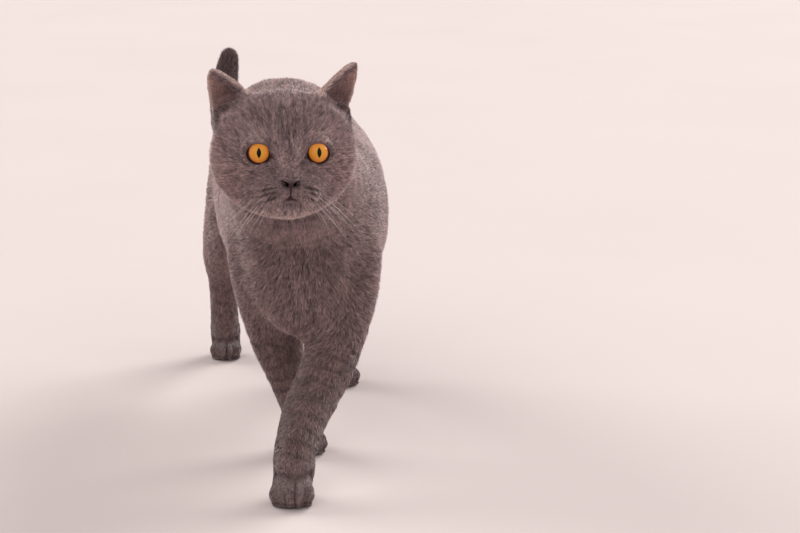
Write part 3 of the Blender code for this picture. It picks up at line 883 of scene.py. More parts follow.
faceSpots = {
    # strength; middle and spread across the face; the same up it; how far forward it starts and is full
    "brow": (0.32, (0.026, 0.010), (0.0140, 0.0050), (-0.018, -0.030)),
    "bridge": (0.42, (0.0060, 0.0032), (-0.002, 0.011), (-0.030, -0.036)),
    "pad": (0.30, (0.015, 0.011), (-0.0385, 0.0040), (-0.030, -0.040)),
    "midLine": (0.45, (0.0, 0.0011), (0.012, 0.014), (-0.010, -0.024)),
    "besideBridge": (0.26, (0.0115, 0.0035), (-0.0105, 0.0080), (-0.030, -0.036)),
}
markLook = {
    # how strong each mark, painted light and painted shade is, and from one line to the next where it
    # repeats
    "faceRimLight": 0.55,         # painted rim light round the face
    # painted rim light under the chin
    "chinRimLight": 0.85,
    "bodyPaintedLight": 0.13,      # painted light on belly and rump
    # painted light on the shoulder of the cat's left foreleg
    "shoulderPaintedLight": 0.10,
    "mottle": 0.07,           # slow changes of tone over the whole coat
    "foreRings": 0.42,
    "hindRings": 0.20,
    "ringGap": 0.0135,
    "fineRings": 0.15,
    "fineRingGap": 0.0047,
    "tailRings": 0.07,
    "tailRingGap": 0.021,
    "rays": 0.17,             # fine streaks out from the nose
    "foreheadLines": 0.30,
    "foreheadLineGap": 0.0092,
    "cheekArcs": 0.11,
    "cheekArcGap": 0.0080,
    "flecks": 0.24,
    # painted shade under the chin
    "throatShade": 0.28,
    "dashes": 1.1,            # along the rows that the whiskers stand in
    "dashWide": 0.00105,
    "paleRows": 0.36,         # the hair between those rows
    # painted shadow in the grooves between the toes and in the fold above the paw
    "toes": 0.75,
    "wrist": 0.36,
}


def faceSpot(name, local):
    strength, across, up, forward = faceSpots[name]
    spot = hump(np.abs(local[:, 0]), *across) * hump(local[:, 2], *up)
    return strength * spot * smoothStep(*forward, local[:, 1])


def stripes(along, gap, low, high, wobble=0.0):
    # 0 between stripes and 1 on them
    return smoothStep(low, high, np.cos(along / gap * 2 * math.pi + wobble))


def baseColours(points, normals, shares, onHead):
    # the plain colour of each part, with pale brows, bridge and pads, and painted rim light under the chin
    # and round the edge of the face
    local = toHead(points)
    x, y, z = np.abs(local[:, 0]), local[:, 1], local[:, 2]
    colours = np.tile(coatColours["body"], (len(points), 1))
    colours = paint(colours, coatColours["face"], onHead)
    colours = paint(colours, coatColours["cheek"], onHead * hump(x, 0.044, 0.020) * hump(z, -0.018, 0.030))
    # painted rim light: pale where the face turns sideways, towards its edge
    edge = hump(-(normals @ headTurn)[:, 1], 0.02, 0.22) * smoothStep(0.022, 0.006, y)
    edge *= smoothStep(0.046, 0.030, z) * smoothStep(0.030, 0.046, x) * markLook["faceRimLight"]
    # painted rim light along the bottom of the chin
    chin = hump(z, -0.0500, 0.0052) * smoothStep(-0.012, -0.030, y) * smoothStep(0.036, 0.020, x)
    chin *= markLook["chinRimLight"]
    for pale in (faceSpot("brow", local), faceSpot("bridge", local), edge, chin, faceSpot("pad", local)):
        colours = paint(colours, coatColours["pale"], onHead * pale)
    colours = paint(colours, coatColours["leg"], shareOf(shares, "foreleg", "hindleg"))
    colours = paint(colours, coatColours["paw"], smoothStep(0.040, 0.026, points[:, 2]))
    colours = paint(colours, coatColours["tail"], shareOf(shares, "tail"))
    # painted light: belly, rump and the left shoulder lighter where the lamps fall on them
    lighter = markLook["bodyPaintedLight"] * shareOf(shares, "belly", "rump")
    lighter += markLook["shoulderPaintedLight"] * shareOf(shares, "foreleg_left_upper")
    return colours * (1 + lighter)[:, None]


def limbRings(points, normals, shares):
    # ghost rings down the legs and round the tail
    dark = np.zeros(len(points))
    for leg in legNames:
        fore, outward = leg.startswith("fore"), 1 if leg.endswith("left") else -1
        start, axis = limbAxis(leg)
        along = (points - start) @ axis + 0.0045 * noiseAt(points, 0.02, 3.1)
        outer = mix(0.55, 1.0, smoothStep(-0.2, 0.7, normals[:, 0] * outward)) * shareOf(shares, leg)
        ring = stripes(along, markLook["ringGap"], 0.20, 0.95) * smoothStep(0.034, 0.042, points[:, 2])
        dark += markLook["foreRings" if fore else "hindRings"] * ring * outer
        if fore:
            wobble = 1.6 * noiseAt(points, 0.008, 6.6)
            fine = stripes(along, markLook["fineRingGap"], 0.1, 0.9, wobble)
            dark += markLook["fineRings"] * fine * outer
    wrap = stripes(points[:, 1] + points[:, 2], markLook["tailRingGap"], 0.1, 0.9)
    return dark + markLook["tailRings"] * wrap * shareOf(shares, "tail")


def noseRays(local):
    # fine streaks running out from the nose over the whole face
    fromNose = local - noseTip
    away = np.linalg.norm(fromNose, axis=1)
    turn = np.arctan2(fromNose[:, 2] + 0.004, fromNose[:, 0])
    rays = np.stack([np.cos(turn) * 34, np.sin(turn) * 34, away / 0.0085], 1)
    return markLook["rays"] * noiseAt(rays, 1.0, 2.2) * smoothStep(0.010, 0.022, away)


def faceLines(points, local):
    # faint lines up the forehead, beside the bridge and out across the cheeks
    x, y, z = np.abs(local[:, 0]), local[:, 1], local[:, 2]
    wobble = 1.1 * noiseAt(points, 0.012, 5.5)
    lines = -np.cos(local[:, 0] / markLook["foreheadLineGap"] * 2 * math.pi + wobble)
    upFront = smoothStep(0.004, 0.014, z) * smoothStep(0.012, -0.004, y) * smoothStep(0.024, 0.012, x)
    dark = markLook["foreheadLines"] * smoothStep(0.0, 0.9, lines) * upFront
    dark += faceSpot("midLine", local) + faceSpot("besideBridge", local)
    wobble = 1.4 * noiseAt(points, 0.016, 4.4)
    arcs = stripes(np.hypot(x, z + 0.012), markLook["cheekArcGap"], 0.35, 0.95, wobble)
    onCheek = smoothStep(0.030, 0.040, x) * smoothStep(0.016, 0.002, z)
    return dark + markLook["cheekArcs"] * arcs * onCheek


def bodyFlecksAndChinShade(points, local, shares):
    # flecks where the short coat opens over chest and shoulders, and a painted shade under the chin
    torso = shareOf(shares, "neck", "chest", "belly", "foreleg_left_upper", "foreleg_right_upper")
    stretched = points * np.array([0.75, 1.0, 1.0])
    fleck = smoothStep(0.10, 0.60, noiseAt(stretched, 0.0048, 1.7))
    fleck *= smoothStep(-0.4, 0.3, noiseAt(points, 0.025, 9.0))
    # painted shade just under the chin
    throatShade = hump(local[:, 2], -0.064, 0.012) * smoothStep(0.030, 0.0, local[:, 1])
    throatShade *= smoothStep(0.040, 0.020, np.abs(local[:, 0])) * shareOf(shares, "head", "neck", "chest")
    return markLook["flecks"] * fleck * torso + markLook["throatShade"] * throatShade


def padRows(points, local):
    # dark dashes along the rows that the whiskers stand in, with pale hair between
    dark = np.zeros(len(points))
    for row in whiskerRows:
        gap, t = lineDistance(mirrored(local), row)
        ends = np.sin(np.pi * np.clip(t, 0.03, 0.97)) ** 0.6
        dash = smoothStep(-0.45, 0.10, noiseAt(points, 0.0042, 2.9))
        wide = markLook["dashWide"] + 0.00035 * noiseAt(points, 0.0050, 6.1)
        pale = hump(gap, 0.00200, 0.0009) * smoothStep(-0.4, 0.4, noiseAt(points, 0.004, 8.2))
        dark += ends * (markLook["dashes"] * hump(gap, 0, wide) * dash - markLook["paleRows"] * pale)
    return dark * (local[:, 1] < -0.028)


def lipShare(local):
    # the dark of the lips and of the parting under the nose
    x, z = np.abs(local[:, 0]), local[:, 2]
    mouth, along = lineDistance(mirrored(local), mouthLine)
    parting, _ = lineDistance(mirrored(local), philtrumLine)
    lip = hump(mouth, 0, 0.0012) * (1 - 0.85 * along) + 1.4 * hump(x, 0, 0.0024) * hump(z, -0.0353, 0.0012)
    lower = 0.50 * hump(x, 0, 0.0076) * hump(z, -0.0390, 0.0028)
    return (lip + lower + hump(parting, 0, 0.0010)) * (local[:, 1] < -0.034)


def markings(points, normals, shares):
    # the colour of the coat at each place, with painted light and painted shade in it
    local = toHead(points)
    onHead = shareOf(shares, "head", "nose")
    colours = baseColours(points, normals, shares, onHead)
    shade = 1 + markLook["mottle"] * noiseAt(points, 0.026)
    shade += mix(0.05, 0.03, onHead) * noiseAt(points, 0.0085, 7.3)
    shade += onHead * (noseRays(local) - faceLines(points, local) - padRows(points, local))
    shade -= limbRings(points, normals, shares) + bodyFlecksAndChinShade(points, local, shares)
    colours = colours * np.clip(shade, 0.25, 2)[:, None]
    # painted shadow in the toe grooves and in the fold above each paw
    wrist = wristFold(points - np.array((0, 0, 0.0012)))
    shadow = markLook["toes"] * toeGrooves(points) + markLook["wrist"] * wrist
    colours = colours * (1 - np.clip(shadow, 0, 0.75))[:, None]
    colours = paint(colours, coatColours["lip"], lipShare(local) * onHead)
    colours = paint(colours, coatColours["lid"], 1.9 * eyeCorners(points) * onHead)
    colours = paintEars(colours, points, normals, shares.argmax(1))
    colours = paintEarFoldShade(colours, local, onHead + shareOf(shares, "ear"))
    sole = smoothStep(0.0018, 0.0008, points[:, 2]) * (normals[:, 2] < -0.3)
    return paint(colours, coatColours["sole"], sole)


# nodes for the finishes

def newMaterial(name, roughness, extras=()):
    material = bpy.data.materials.new(name)
    material.use_nodes = True
    shader = material.node_tree.nodes["Principled BSDF"]
    shader.inputs["Roughness"].default_value = roughness
    for socket, value in extras:
        shader.inputs[socket].default_value = value
    return material, material.node_tree, shader


def addNode(tree, kind, **settings):
    made = tree.nodes.new(kind)
    for key, value in settings.items():
        setattr(made, key, value)
    return made


def calc(tree, operation, first, second=None, clamp=False):
    made = addNode(tree, "ShaderNodeMath", operation=operation, use_clamp=clamp)
    for socket, value in zip(made.inputs, (first, second)):
        if value is None:
            continue
        if isinstance(value, (int, float)):
            socket.default_value = value
        else:
            tree.links.new(value, socket)
    return made.outputs[0]


def blend(tree, share, first, second, kind="MIX"):
    made = addNode(tree, "ShaderNodeMix", data_type="RGBA", blend_type=kind)
    sockets = (made.inputs[0], made.inputs[6], made.inputs[7])
    for socket, value in zip(sockets, (share, first, second)):
        if isinstance(value, (int, float)):
            socket.default_value = value
        elif isinstance(value, bpy.types.NodeSocket):
            tree.links.new(value, socket)
        else:
            socket.default_value = (*value, 1)
    return made.outputs[2]


def bumpFrom(tree, shader, height, strength, distance):
    made = addNode(tree, "ShaderNodeBump")
    made.inputs["Strength"].default_value = strength
    made.inputs["Distance"].default_value = distance
    tree.links.new(height, made.inputs["Height"])
    tree.links.new(made.outputs[0], shader.inputs["Normal"])


def noiseNode(tree, scale, detail=3.0, vector=None):
    made = addNode(tree, "ShaderNodeTexNoise")
    made.inputs["Scale"].default_value = scale
    made.inputs["Detail"].default_value = detail
    if vector is None:
        vector = addNode(tree, "ShaderNodeTexCoord").outputs["Object"]
    tree.links.new(vector, made.inputs["Vector"])
    return made.outputs["Fac"]


def coatColourOf(tree):
    return addNode(tree, "ShaderNodeAttribute", attribute_name="coatColour").outputs["Color"]


def skinMaterial():
    sheen = (("Sheen Weight", 0.15), ("Sheen Roughness", 0.5))
    material, tree, shader = newMaterial("cat_skin", 0.75, sheen)
    colour = coatColourOf(tree)
    grain = noiseNode(tree, 900, 4)
    darker = blend(tree, 1.0, colour, (0.72, 0.70, 0.70), "MULTIPLY")
    tree.links.new(blend(tree, grain, darker, colour), shader.inputs["Base Color"])
    bumpFrom(tree, shader, grain, 0.5, 0.0006)
    return material


def coatMaterial():
    gloss = (
        ("Sheen Weight", 0.60),
        ("Sheen Roughness", 0.40),
        ("Sheen Tint", (1.0, 0.93, 0.91, 1)),
        ("Specular IOR Level", 0.30),
    )
    material, tree, shader = newMaterial("cat_coat", 0.62, gloss)
    colour = coatColourOf(tree)
    fine = noiseNode(tree, 260, 2)
    lifted = blend(tree, 1.0, colour, (1.12, 1.11, 1.11), "MULTIPLY")
    tree.links.new(blend(tree, fine, colour, lifted), shader.inputs["Base Color"])
    return material


def lidMaterial():
    material, tree, shader = newMaterial("cat_lid_rim", 0.50, (("Specular IOR Level", 0.2),))
    colour = coatColourOf(tree)
    speck = calc(tree, "MULTIPLY", noiseNode(tree, 2200, 2), 0.3)
    tree.links.new(blend(tree, speck, colour, tuple(coatColours["lid"])), shader.inputs["Base Color"])
    bumpFrom(tree, shader, noiseNode(tree, 3000, 2), 0.25, 0.0003)
    return material


# the rims of the lids

def setColours(mesh, colours):
    layer = mesh.color_attributes.new("coatColour", "FLOAT_COLOR", "POINT")
    filled = np.concatenate([colours, np.ones((len(colours), 1))], 1)
    layer.data.foreach_set("color", filled.astype(np.float32).ravel())


lidShape = {
    # each ring: how far past the lid's edge in radians, how far over the ball, how dark
    "rings": (
        (-0.034, -0.0008, 1.0),
        (-0.012, 0.0002, 1.0),
        (0.002, 0.0006, 0.9),
        (0.012, 0.0009, 0.4),
        (0.026, 0.0007, 0.0),
        (0.060, 0.0000, 0.0),
        (0.100, -0.0008, 0.0),
    ),
    "steps": 96,
    "topDark": 0.0,           # how dark the upper lid is, from 0 to 1 as the lower one
    "furShade": 0.8,          # where it is not dark it is this share of the face's colour
}


def addLids(mesh):
    # a rounded rim round each opening, part of the skin's own mesh
    bm = bmesh.new()
    bm.from_mesh(mesh)
    for side in (1, -1):
        _, radius = eyePlace(side)
        around = np.linspace(0, 2 * math.pi, lidShape["steps"], endpoint=False)
        rings = []
        for past, proud, _ in lidShape["rings"]:
            angle = openingAngle(side, around) + past
            ring = fromEye(side, angle, around, np.full(len(around), radius + proud))
            rings.append([bm.verts.new(p) for p in ring])
        for inner, outer in zip(rings, rings[1:]):
            for i in range(len(inner)):
                j = (i + 1) % len(inner)
                corners = (inner[i], inner[j], outer[j], outer[i])
                face = bm.faces.new(corners if side < 0 else corners[::-1])
                face.smooth = True
                face.material_index = 1
    bm.normal_update()
    bm.to_mesh(mesh)
    bm.free()


skin, skinRegion = makeSkin()
skinMesh = skin.data
skinPoints, skinPairs = pointsOf(skinMesh), edgesOf(skinMesh)
skinNormals = normalsOf(skinMesh)
skinFaces = [tuple(f.vertices) for f in skinMesh.polygons]
skinTree = BVHTree.FromPolygons([Vector(p) for p in skinPoints], skinFaces)


# how the hair lies

def alongSkin(way, normals):
    # what is left of a direction once it is laid flat on the skin
    return way - normals * np.sum(way * normals, axis=1, keepdims=True)


growth = {
    "trunk": (0, 1, -0.42),   # the way the hair lies, Y backward and Z up
    "thighBack": (0, 0.25, 0),
    "paw": (0, -0.85, -0.55),
    "rounds": 22,             # of evening out from one part to the next
    "eyeRounds": 5,           # and once more when it has been turned away from the eyes
}


def growthOf(points, normals, region):
    way = np.zeros((len(points), 3))
    trunk = isRegion(region, "neck", "chest", "belly", "rump")
    way[trunk] = growth["trunk"]
    for leg in legNames:
        upper, lower, paw = (asArray(middleOf(f"{leg}_{part}")) for part in ("upper", "lower", "paw"))
        way[isRegion(region, leg + "_upper")] = unit(lower - upper) + growth["thighBack"]
        way[isRegion(region, leg + "_lower")] = unit(paw - lower)
        way[isRegion(region, leg + "_paw")] = growth["paw"]
    middles = [asArray(middleOf(n)) for n in tailOrder]
    for i, name in enumerate(tailOrder):
        before, after = middles[max(i - 1, 0)], middles[min(i + 1, len(middles) - 1)]
        way[isRegion(region, name)] = unit(after - before)
    local = toHead(points)
    outward = local - (noseTip + (0, 0.004, 0.004))
    outward[:, 2] -= 0.18 * np.abs(outward[:, 0]) * (local[:, 2] < 0.005)
    onHead = isRegion(region, "head", "nose")
    way[onHead] = (unit(outward) @ headTurn.T)[onHead]
    for name, (_, axes) in ears.items():
        outward = axes[:, 0] * earShape[name][0]
        mine = isRegion(region, name)
        cup = earCup(points, normals, region)[mine, None]
        way[mine] = mix(axes[:, 2], (axes[:, 2] + outward) * 0.75, cup)
    way = unit(alongSkin(way, normals))
    for _ in range(growth["rounds"]):
        way = alongSkin(spread(way, skinPairs, 1), normals)
    # away from each eye
    for side in (1, -1):
        centre = eyePlace(side)[0]
        distance, past, _ = aroundEye(points, side)
        away = alongSkin(points - centre, normals)
        near = (smoothStep(0.38, 0.06, past) * (distance < 0.022))[:, None]
        way = mix(unit(way), unit(away), near)
    for _ in range(growth["eyeRounds"]):
        way = alongSkin(spread(unit(way), skinPairs, 1), normals)
    return unit(way)


streakLook = {
    "head": 0.19,             # how much the streaks in the coat darken and lighten it
    "body": 0.11,
    "rounds": 7,              # more makes them longer
}
onEars = isRegion(skinRegion, "ear_left", "ear_right")
skinHair = hairValues(skinPoints, skinNormals, skinRegion)
skinHair = spread(skinHair, skinPairs, 3)
skinHair = spread(skinHair, skinPairs, 18, 0.5 * ~onEars)
skinShares = spread(np.eye(len(fleshNodes))[skinRegion], skinPairs, 22)
for side in (1, -1):
    eyeDistance, pastLid, _ = aroundEye(skinPoints, side)
    close = smoothStep(0.50, 0.06, pastLid) * (eyeDistance < 0.022)
    skinHair[:, 0] = mix(skinHair[:, 0], hairLook["lidLength"], close)
    skinHair[:, 1] = mix(skinHair[:, 1], math.radians(hairLook["lidLift"]), close)
skinLocal = toHead(skinPoints)
lipLines = [lineDistance(mirrored(skinLocal), line)[0] for line in (mouthLine, philtrumLine)]
nearLips = smoothStep(0.0040, 0.0010, np.minimum(*lipLines)) * (skinLocal[:, 1] < -0.034)
skinHair[:, 0] = mix(skinHair[:, 0], hairLook["lipLength"], nearLips)
skinWay = growthOf(skinPoints, skinNormals, skinRegion)
grain = rng.normal(size=len(skinPoints))
skinStreak = combed(grain, skinPoints, neighboursOf(skinMesh), skinWay, streakLook["rounds"])
skinStreak *= mix(streakLook["body"], streakLook["head"], shareOf(skinShares, "head", "nose"))
skinStreak *= smoothStep(-0.0005, 0.004, skinHair[:, 0])
skinColours = markings(skinPoints, skinNormals, skinShares)
skinColours = skinColours * np.clip(1 + skinStreak, 0.35, 2)[:, None]
print("hair directions set")


bareShape = {
    "pastLid": 0.006,         # bare up to this angle past the lid's edge
    "eyeCorner": 0.25,        # less leaves more of the dark corners bare
    "lip": 0.0008,            # half widths along the mouth and the parting above it
    "lipLong": 0.55,          # as a share of the line of the mouth
    "parting": 0.0007,
    "earCup": 0.80,           # this share of the hairs is left out in the cups
}


def bareness(points, normals, region):
    # 1 where no hair grows: lids, nose leather, lips' edge, ear cups, soles
    local = toHead(points)
    bare = smoothStep(0.0016, 0.0008, points[:, 2]) * (normals[:, 2] < -0.3)
    for side in (1, -1):
        distance, past, _ = aroundEye(points, side)
        bare = np.maximum(bare, (past < bareShape["pastLid"]) * (distance < 0.020))
    bare = np.maximum(bare, eyeCorners(points) > bareShape["eyeCorner"])
    down = (local[:, 2] - noseShape["top"]) / (noseShape["bottom"] - noseShape["top"])
    halfWide = noseHalf(down)
    inside = (np.abs(local[:, 0]) < halfWide + 0.0002) & (local[:, 1] < -0.042)
    inside &= (local[:, 2] < noseShape["furredTo"] - 0.0002) & (local[:, 2] > noseShape["bottom"])
    bare = np.maximum(bare, inside)
    flat = mirrored(local)
    mouth, along = lineDistance(flat, mouthLine)
    parting, _ = lineDistance(flat, philtrumLine)
    lips = (mouth < bareShape["lip"]) & (along < bareShape["lipLong"])
    lips |= parting < bareShape["parting"]
    lips |= (np.abs(local[:, 0]) < 0.0045) & (np.abs(local[:, 2] + 0.0372) < 0.0014)
    bare = np.maximum(bare, lips & (local[:, 1] < -0.036))
    cup = earCup(points, normals, region)
    for name, _, _, _, toInner in earPlaces(points):
        thin = mix(bareShape["earCup"], 0.0, smoothStep(0.020, 0.008, toInner))
        bare = np.where(isRegion(region, name), np.maximum(bare, thin * cup), bare)
    return bare


def noseHalf(t):
    # half the width of the nose leather, t from its top to its bottom
    t = np.clip(t, 0, 1)
    full = noseShape["halfWide"]
    wings = mix(0.80, 1.0, smoothStep(0, 0.35, t))
    return full * wings * mix(1.0, 0.20, smoothStep(0.45, 1.0, t))


# the coat: pieces of single hairs, each a thin leaf

coatPieces = {
    # regions it grows on, how many hairs, hairs in a clump, how unlike its clumps are, how far
    # they draw together, how much neighbouring hairs turn aside together
    "coat_face": (("head", "nose"), 97000, 5, 0.33, 0.55, 0.10),
    "coat_head": (("head", "ear_left", "ear_right"), 92000, 6, 0.24, 0.56, 0.14),
    "coat_neck": (("neck",), 72000, 6, 0.18, 0.36, 0.24),
    "coat_chest": (("chest",), 97000, 6, 0.19, 0.34, 0.24),
    "coat_belly": (("belly",), 68000, 9, 0.14, 0.30, 0.24),
    "coat_rump": (("rump",), 76000, 9, 0.13, 0.30, 0.24),
    "coat_forelegs": (("foreleg",), 97000, 6, 0.16, 0.36, 0.22),
    "coat_hindlegs": (("hindleg",), 78000, 9, 0.15, 0.34, 0.24),
    "coat_tail": (("tail",), 48000, 9, 0.14, 0.30, 0.20),
}
coatLook = {
    "hairUnlike": 0.24,       # how unlike each other single hairs are
    "stray": 0.13,            # how much single hairs turn aside
    "swayGrain": 0.012,       # how large a patch turns aside together
    "shades": (0.34, 0.90, 0.90, 1.72),  # at the root, at both sides and at the tip
    "paleShare": 0.24,        # of hairs with a pale tip
    "paleTip": 0.40,          # how pale it is
    "paleColour": coatColours["pale"] * 1.35,
    "lengths": (0.72, 1.14),  # the shortest and longest hairs, and so on below
    "lowerLifts": (0.70, 1.25),
    "upperLifts": (0.35, 1.5),
    "widths": (0.7, 1.2),
    "lumps": 0.22,            # how much the coat stands higher and lower from place to place
    "rootDeep": 0.0004,       # the root stands this far in the skin
    "twist": 0.50,
    "patch": 0.003,           # size of a hair's patch on the bake map
    "flatFaces": 3500,        # faces of the flat copy that places those patches
    "faceEdge": -0.006,       # the face piece lies ahead of this, in the head's Y
}


def trianglesOf(mesh, kind="vertices"):
    mesh.calc_loop_triangles()
    flat = np.empty(len(mesh.loop_triangles) * 3, np.int32)
    mesh.loop_triangles.foreach_get(kind, flat)
    return flat.reshape(-1, 3)


corners = trianglesOf(skinMesh)
triangleMiddle = skinPoints[corners].mean(1)
triangleCross = np.cross(skinPoints[corners[:, 1]] - skinPoints[corners[:, 0]],
                         skinPoints[corners[:, 2]] - skinPoints[corners[:, 0]])
triangleArea = np.linalg.norm(triangleCross, axis=1) / 2
triangleRegion = skinRegion[corners[:, 0]]


def triangleShare(name, regions):
    # which triangles a piece grows on, and how thickly
    mine = isRegion(triangleRegion, *regions)
    local = toHead(triangleMiddle)
    ahead = (local[:, 1] < coatLook["faceEdge"]) & isRegion(triangleRegion, "head", "nose")
    if name == "coat_face":
        mine &= ahead
    if name == "coat_head":
        mine &= ~ahead
    length = skinHair[corners[:, 0], 0]
    return mine * triangleArea / np.maximum(length, 0.002) ** 0.5


def unwrapRegion(name, chosen):
    # a coarse copy of the skin under the piece, laid flat, to place each hair on the bake map
    used, faces = np.unique(corners[chosen], return_inverse=True)
    mesh = bpy.data.meshes.new("flat_" + name)
    mesh.from_pydata(skinPoints[used].tolist(), [], faces.reshape(-1, 3).tolist())
    obj = newObject("flat_" + name, mesh)
    thinning = obj.modifiers.new("thin", "DECIMATE")
    thinning.ratio = min(1.0, coatLook["flatFaces"] / max(len(mesh.polygons), 1))
    applyModifiers(obj)
    for other in bpy.context.selected_objects:
        other.select_set(False)
    bpy.context.view_layer.objects.active = obj
    obj.select_set(True)
    bpy.ops.object.mode_set(mode="EDIT")
    bpy.ops.mesh.select_all(action="SELECT")
    bpy.ops.uv.smart_project(angle_limit=math.radians(66), island_margin=0.004)
    bpy.ops.object.mode_set(mode="OBJECT")
    coarse = obj.data
    loops, ends = trianglesOf(coarse, "loops"), trianglesOf(coarse)
    flat = np.empty(len(coarse.loops) * 2, np.float32)
    coarse.uv_layers.active.data.foreach_get("uv", flat)
    points = pointsOf(coarse)
    places = flat.reshape(-1, 2)[loops].astype(float)
    tree = BVHTree.FromPolygons([Vector(p) for p in points], ends.tolist())
    bpy.data.objects.remove(obj, do_unlink=True)
    return tree, points[ends], places


def placesOn(unwrapped, roots):
    tree, triangles, places = unwrapped
    found = [tree.find_nearest(Vector(p)) for p in roots]
    index = np.array([f[2] for f in found])
    at = np.array([f[0] for f in found])
    a, b, c = (triangles[index, k] for k in range(3))
    ab, ac, ap = b - a, c - a, at - a
    bb, cc, bc = (ab * ab).sum(1), (ac * ac).sum(1), (ab * ac).sum(1)
    pb, pc = (ap * ab).sum(1), (ap * ac).sum(1)
    scale = np.maximum(bb * cc - bc * bc, 1e-20)
    v, w = (cc * pb - bc * pc) / scale, (bb * pc - bc * pb) / scale
    u = 1 - v - w
    spot = places[index]
    return spot[:, 0] * u[:, None] + spot[:, 1] * v[:, None] + spot[:, 2] * w[:, None]


def strandMesh(name, root, midLeft, midRight, tip, colours, places, half):
    # each hair is a thin leaf of two triangles, from its root over two side points to its tip
    count = len(tip)
    points = np.stack([root, midLeft, midRight, tip], 1).reshape(-1, 3)
    points[:, 2] = np.maximum(points[:, 2], 0.0003)
    base = np.arange(count)[:, None] * 4
    order = np.array([0, 2, 1, 1, 2, 3])
    loops = (base + order).ravel()
    mesh = bpy.data.meshes.new(name)
    mesh.vertices.add(len(points))
    mesh.vertices.foreach_set("co", points.astype(np.float32).ravel())
    mesh.loops.add(len(loops))
    mesh.loops.foreach_set("vertex_index", loops.astype(np.int32))
    mesh.polygons.add(count * 2)
    mesh.polygons.foreach_set("loop_start", (np.arange(count * 2) * 3).astype(np.int32))
    mesh.update(calc_edges=True)
    smoothFaces(mesh)
    setColours(mesh, colours.reshape(-1, 3))
    layer = mesh.uv_layers.new(name="OFBake")
    patch = np.array([(0, -1), (-1, 0), (1, 0), (0, 1)], float) * half
    uv = np.clip(places, 0.002, 0.998)[:, None, :] + patch[order][None]
    layer.data.foreach_set("uv", uv.astype(np.float32).ravel())
    return newObject(name, mesh)


def clumpsOf(roots, clumpHairs):
    # which clump each hair is in, and where each clump has its middle
    middles = roots[::clumpHairs]
    clumps = KDTree(len(middles))
    for i, p in enumerate(middles):
        clumps.insert(p, i)
    clumps.balance()
    return np.array([clumps.find(p)[1] for p in roots]), middles


def between(values, ends, weights):
    # a value of the skin's points, taken between the corners of each chosen triangle
    return (values[ends] * weights).sum(1)


def scatterRoots(share, count):
    # an even spread of places over the triangles, leaving the bare ones out
    chosen = rng.choice(len(share), int(count * 1.25), p=share / share.sum())
    one, two = rng.random((2, len(chosen)))
    flip = one + two > 1
    one, two = np.where(flip, 1 - one, one), np.where(flip, 1 - two, two)
    weights = np.stack([1 - one - two, one, two], 1)[..., None]
    ends = corners[chosen]
    roots = between(skinPoints, ends, weights)
    normals = unit(between(skinNormals, ends, weights))
    kept = rng.random(len(roots)) > bareness(roots, normals, triangleRegion[chosen])
    kept = np.flatnonzero(kept)[:count]
    return roots[kept], normals[kept], ends[kept], weights[kept]


def shapeHairs(roots, normals, way, hair, lean):
    # each hair rises steeply in its root half and lies flatter in its tip half
    count = len(roots)
    side = np.cross(way, normals)
    length = hair[:, 0] * rng.uniform(*coatLook["lengths"], count)
    lump = 1 + coatLook["lumps"] * noiseAt(roots, 0.009, 13.0)
    lower = hair[:, 1] * lump * rng.uniform(*coatLook["lowerLifts"], count)
    upper = hair[:, 2] * lump * rng.uniform(*coatLook["upperLifts"], count)
    half = (length / 2)[:, None]
    mid = roots + half * (way * np.cos(lower)[:, None] + normals * np.sin(lower)[:, None])
    tip = mid + half * (way * np.cos(upper)[:, None] + normals * np.sin(upper)[:, None])
    mid += lean * 0.4
    tip += lean
    twist = rng.normal(0, coatLook["twist"], count)[:, None]
    width = (hair[:, 3] * rng.uniform(*coatLook["widths"], count))[:, None]
    wide = (side * np.cos(twist) + normals * np.sin(twist)) * width / 2
    return roots - normals * coatLook["rootDeep"], mid - wide, mid + wide, tip


def colourHairs(colour, unlike):
    # dark at the root and light at the tip, and some tips paler still
    own = 1 + coatLook["hairUnlike"] * rng.normal(size=len(colour)) + unlike
    own = np.maximum(own, 0.3)[:, None]
    pale = (rng.random(len(colour)) < coatLook["paleShare"])[:, None] * coatLook["paleTip"]
    colours = np.stack([colour * own * shade for shade in coatLook["shades"]], 1)
    colours[:, 3] = mix(colours[:, 3], coatLook["paleColour"], pale)
    return np.clip(colours, 0, 1)


def growPiece(name, regions, count, clumpHairs, clumpUnlike, clumpPull, sway, material):
    share = triangleShare(name, regions)
    roots, normals, ends, weights = scatterRoots(share, count)
    # the coat parts into clumps, whose tips lean together
    clump, middles = clumpsOf(roots, clumpHairs)
    clumpShade = rng.normal(0, clumpUnlike, len(middles))
    lean = alongSkin(middles[clump] - roots, normals) * clumpPull
    turned = np.stack([noiseAt(roots, coatLook["swayGrain"], shift) for shift in (3.3, 17.1, 29.7)], 1)
    way = between(skinWay, ends, weights) + sway * turned
    way = way + coatLook["stray"] * rng.normal(size=(len(roots), 3))
    way = unit(alongSkin(way, normals))
    hair = between(skinHair, ends, weights)
    foot, midLeft, midRight, tip = shapeHairs(roots, normals, way, hair, lean)
    shares = between(skinShares, ends, weights)
    colour = markings(mix(roots, (midLeft + midRight) / 2, 0.8), normals, shares)
    streak = between(skinStreak[:, None], ends, weights)[:, 0]
    colours = colourHairs(colour, clumpShade[clump] + streak)
    places = placesOn(unwrapRegion(name, share > 0), roots)
    obj = strandMesh(name, foot, midLeft, midRight, tip, colours, places, coatLook["patch"] / 2)
    obj.data.materials.append(material)
    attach(obj, "root")
    print(name, "grown:", len(roots), "hairs")


coatFinish = coatMaterial()
for pieceName, settings in coatPieces.items():
    growPiece(pieceName, *settings, coatFinish)

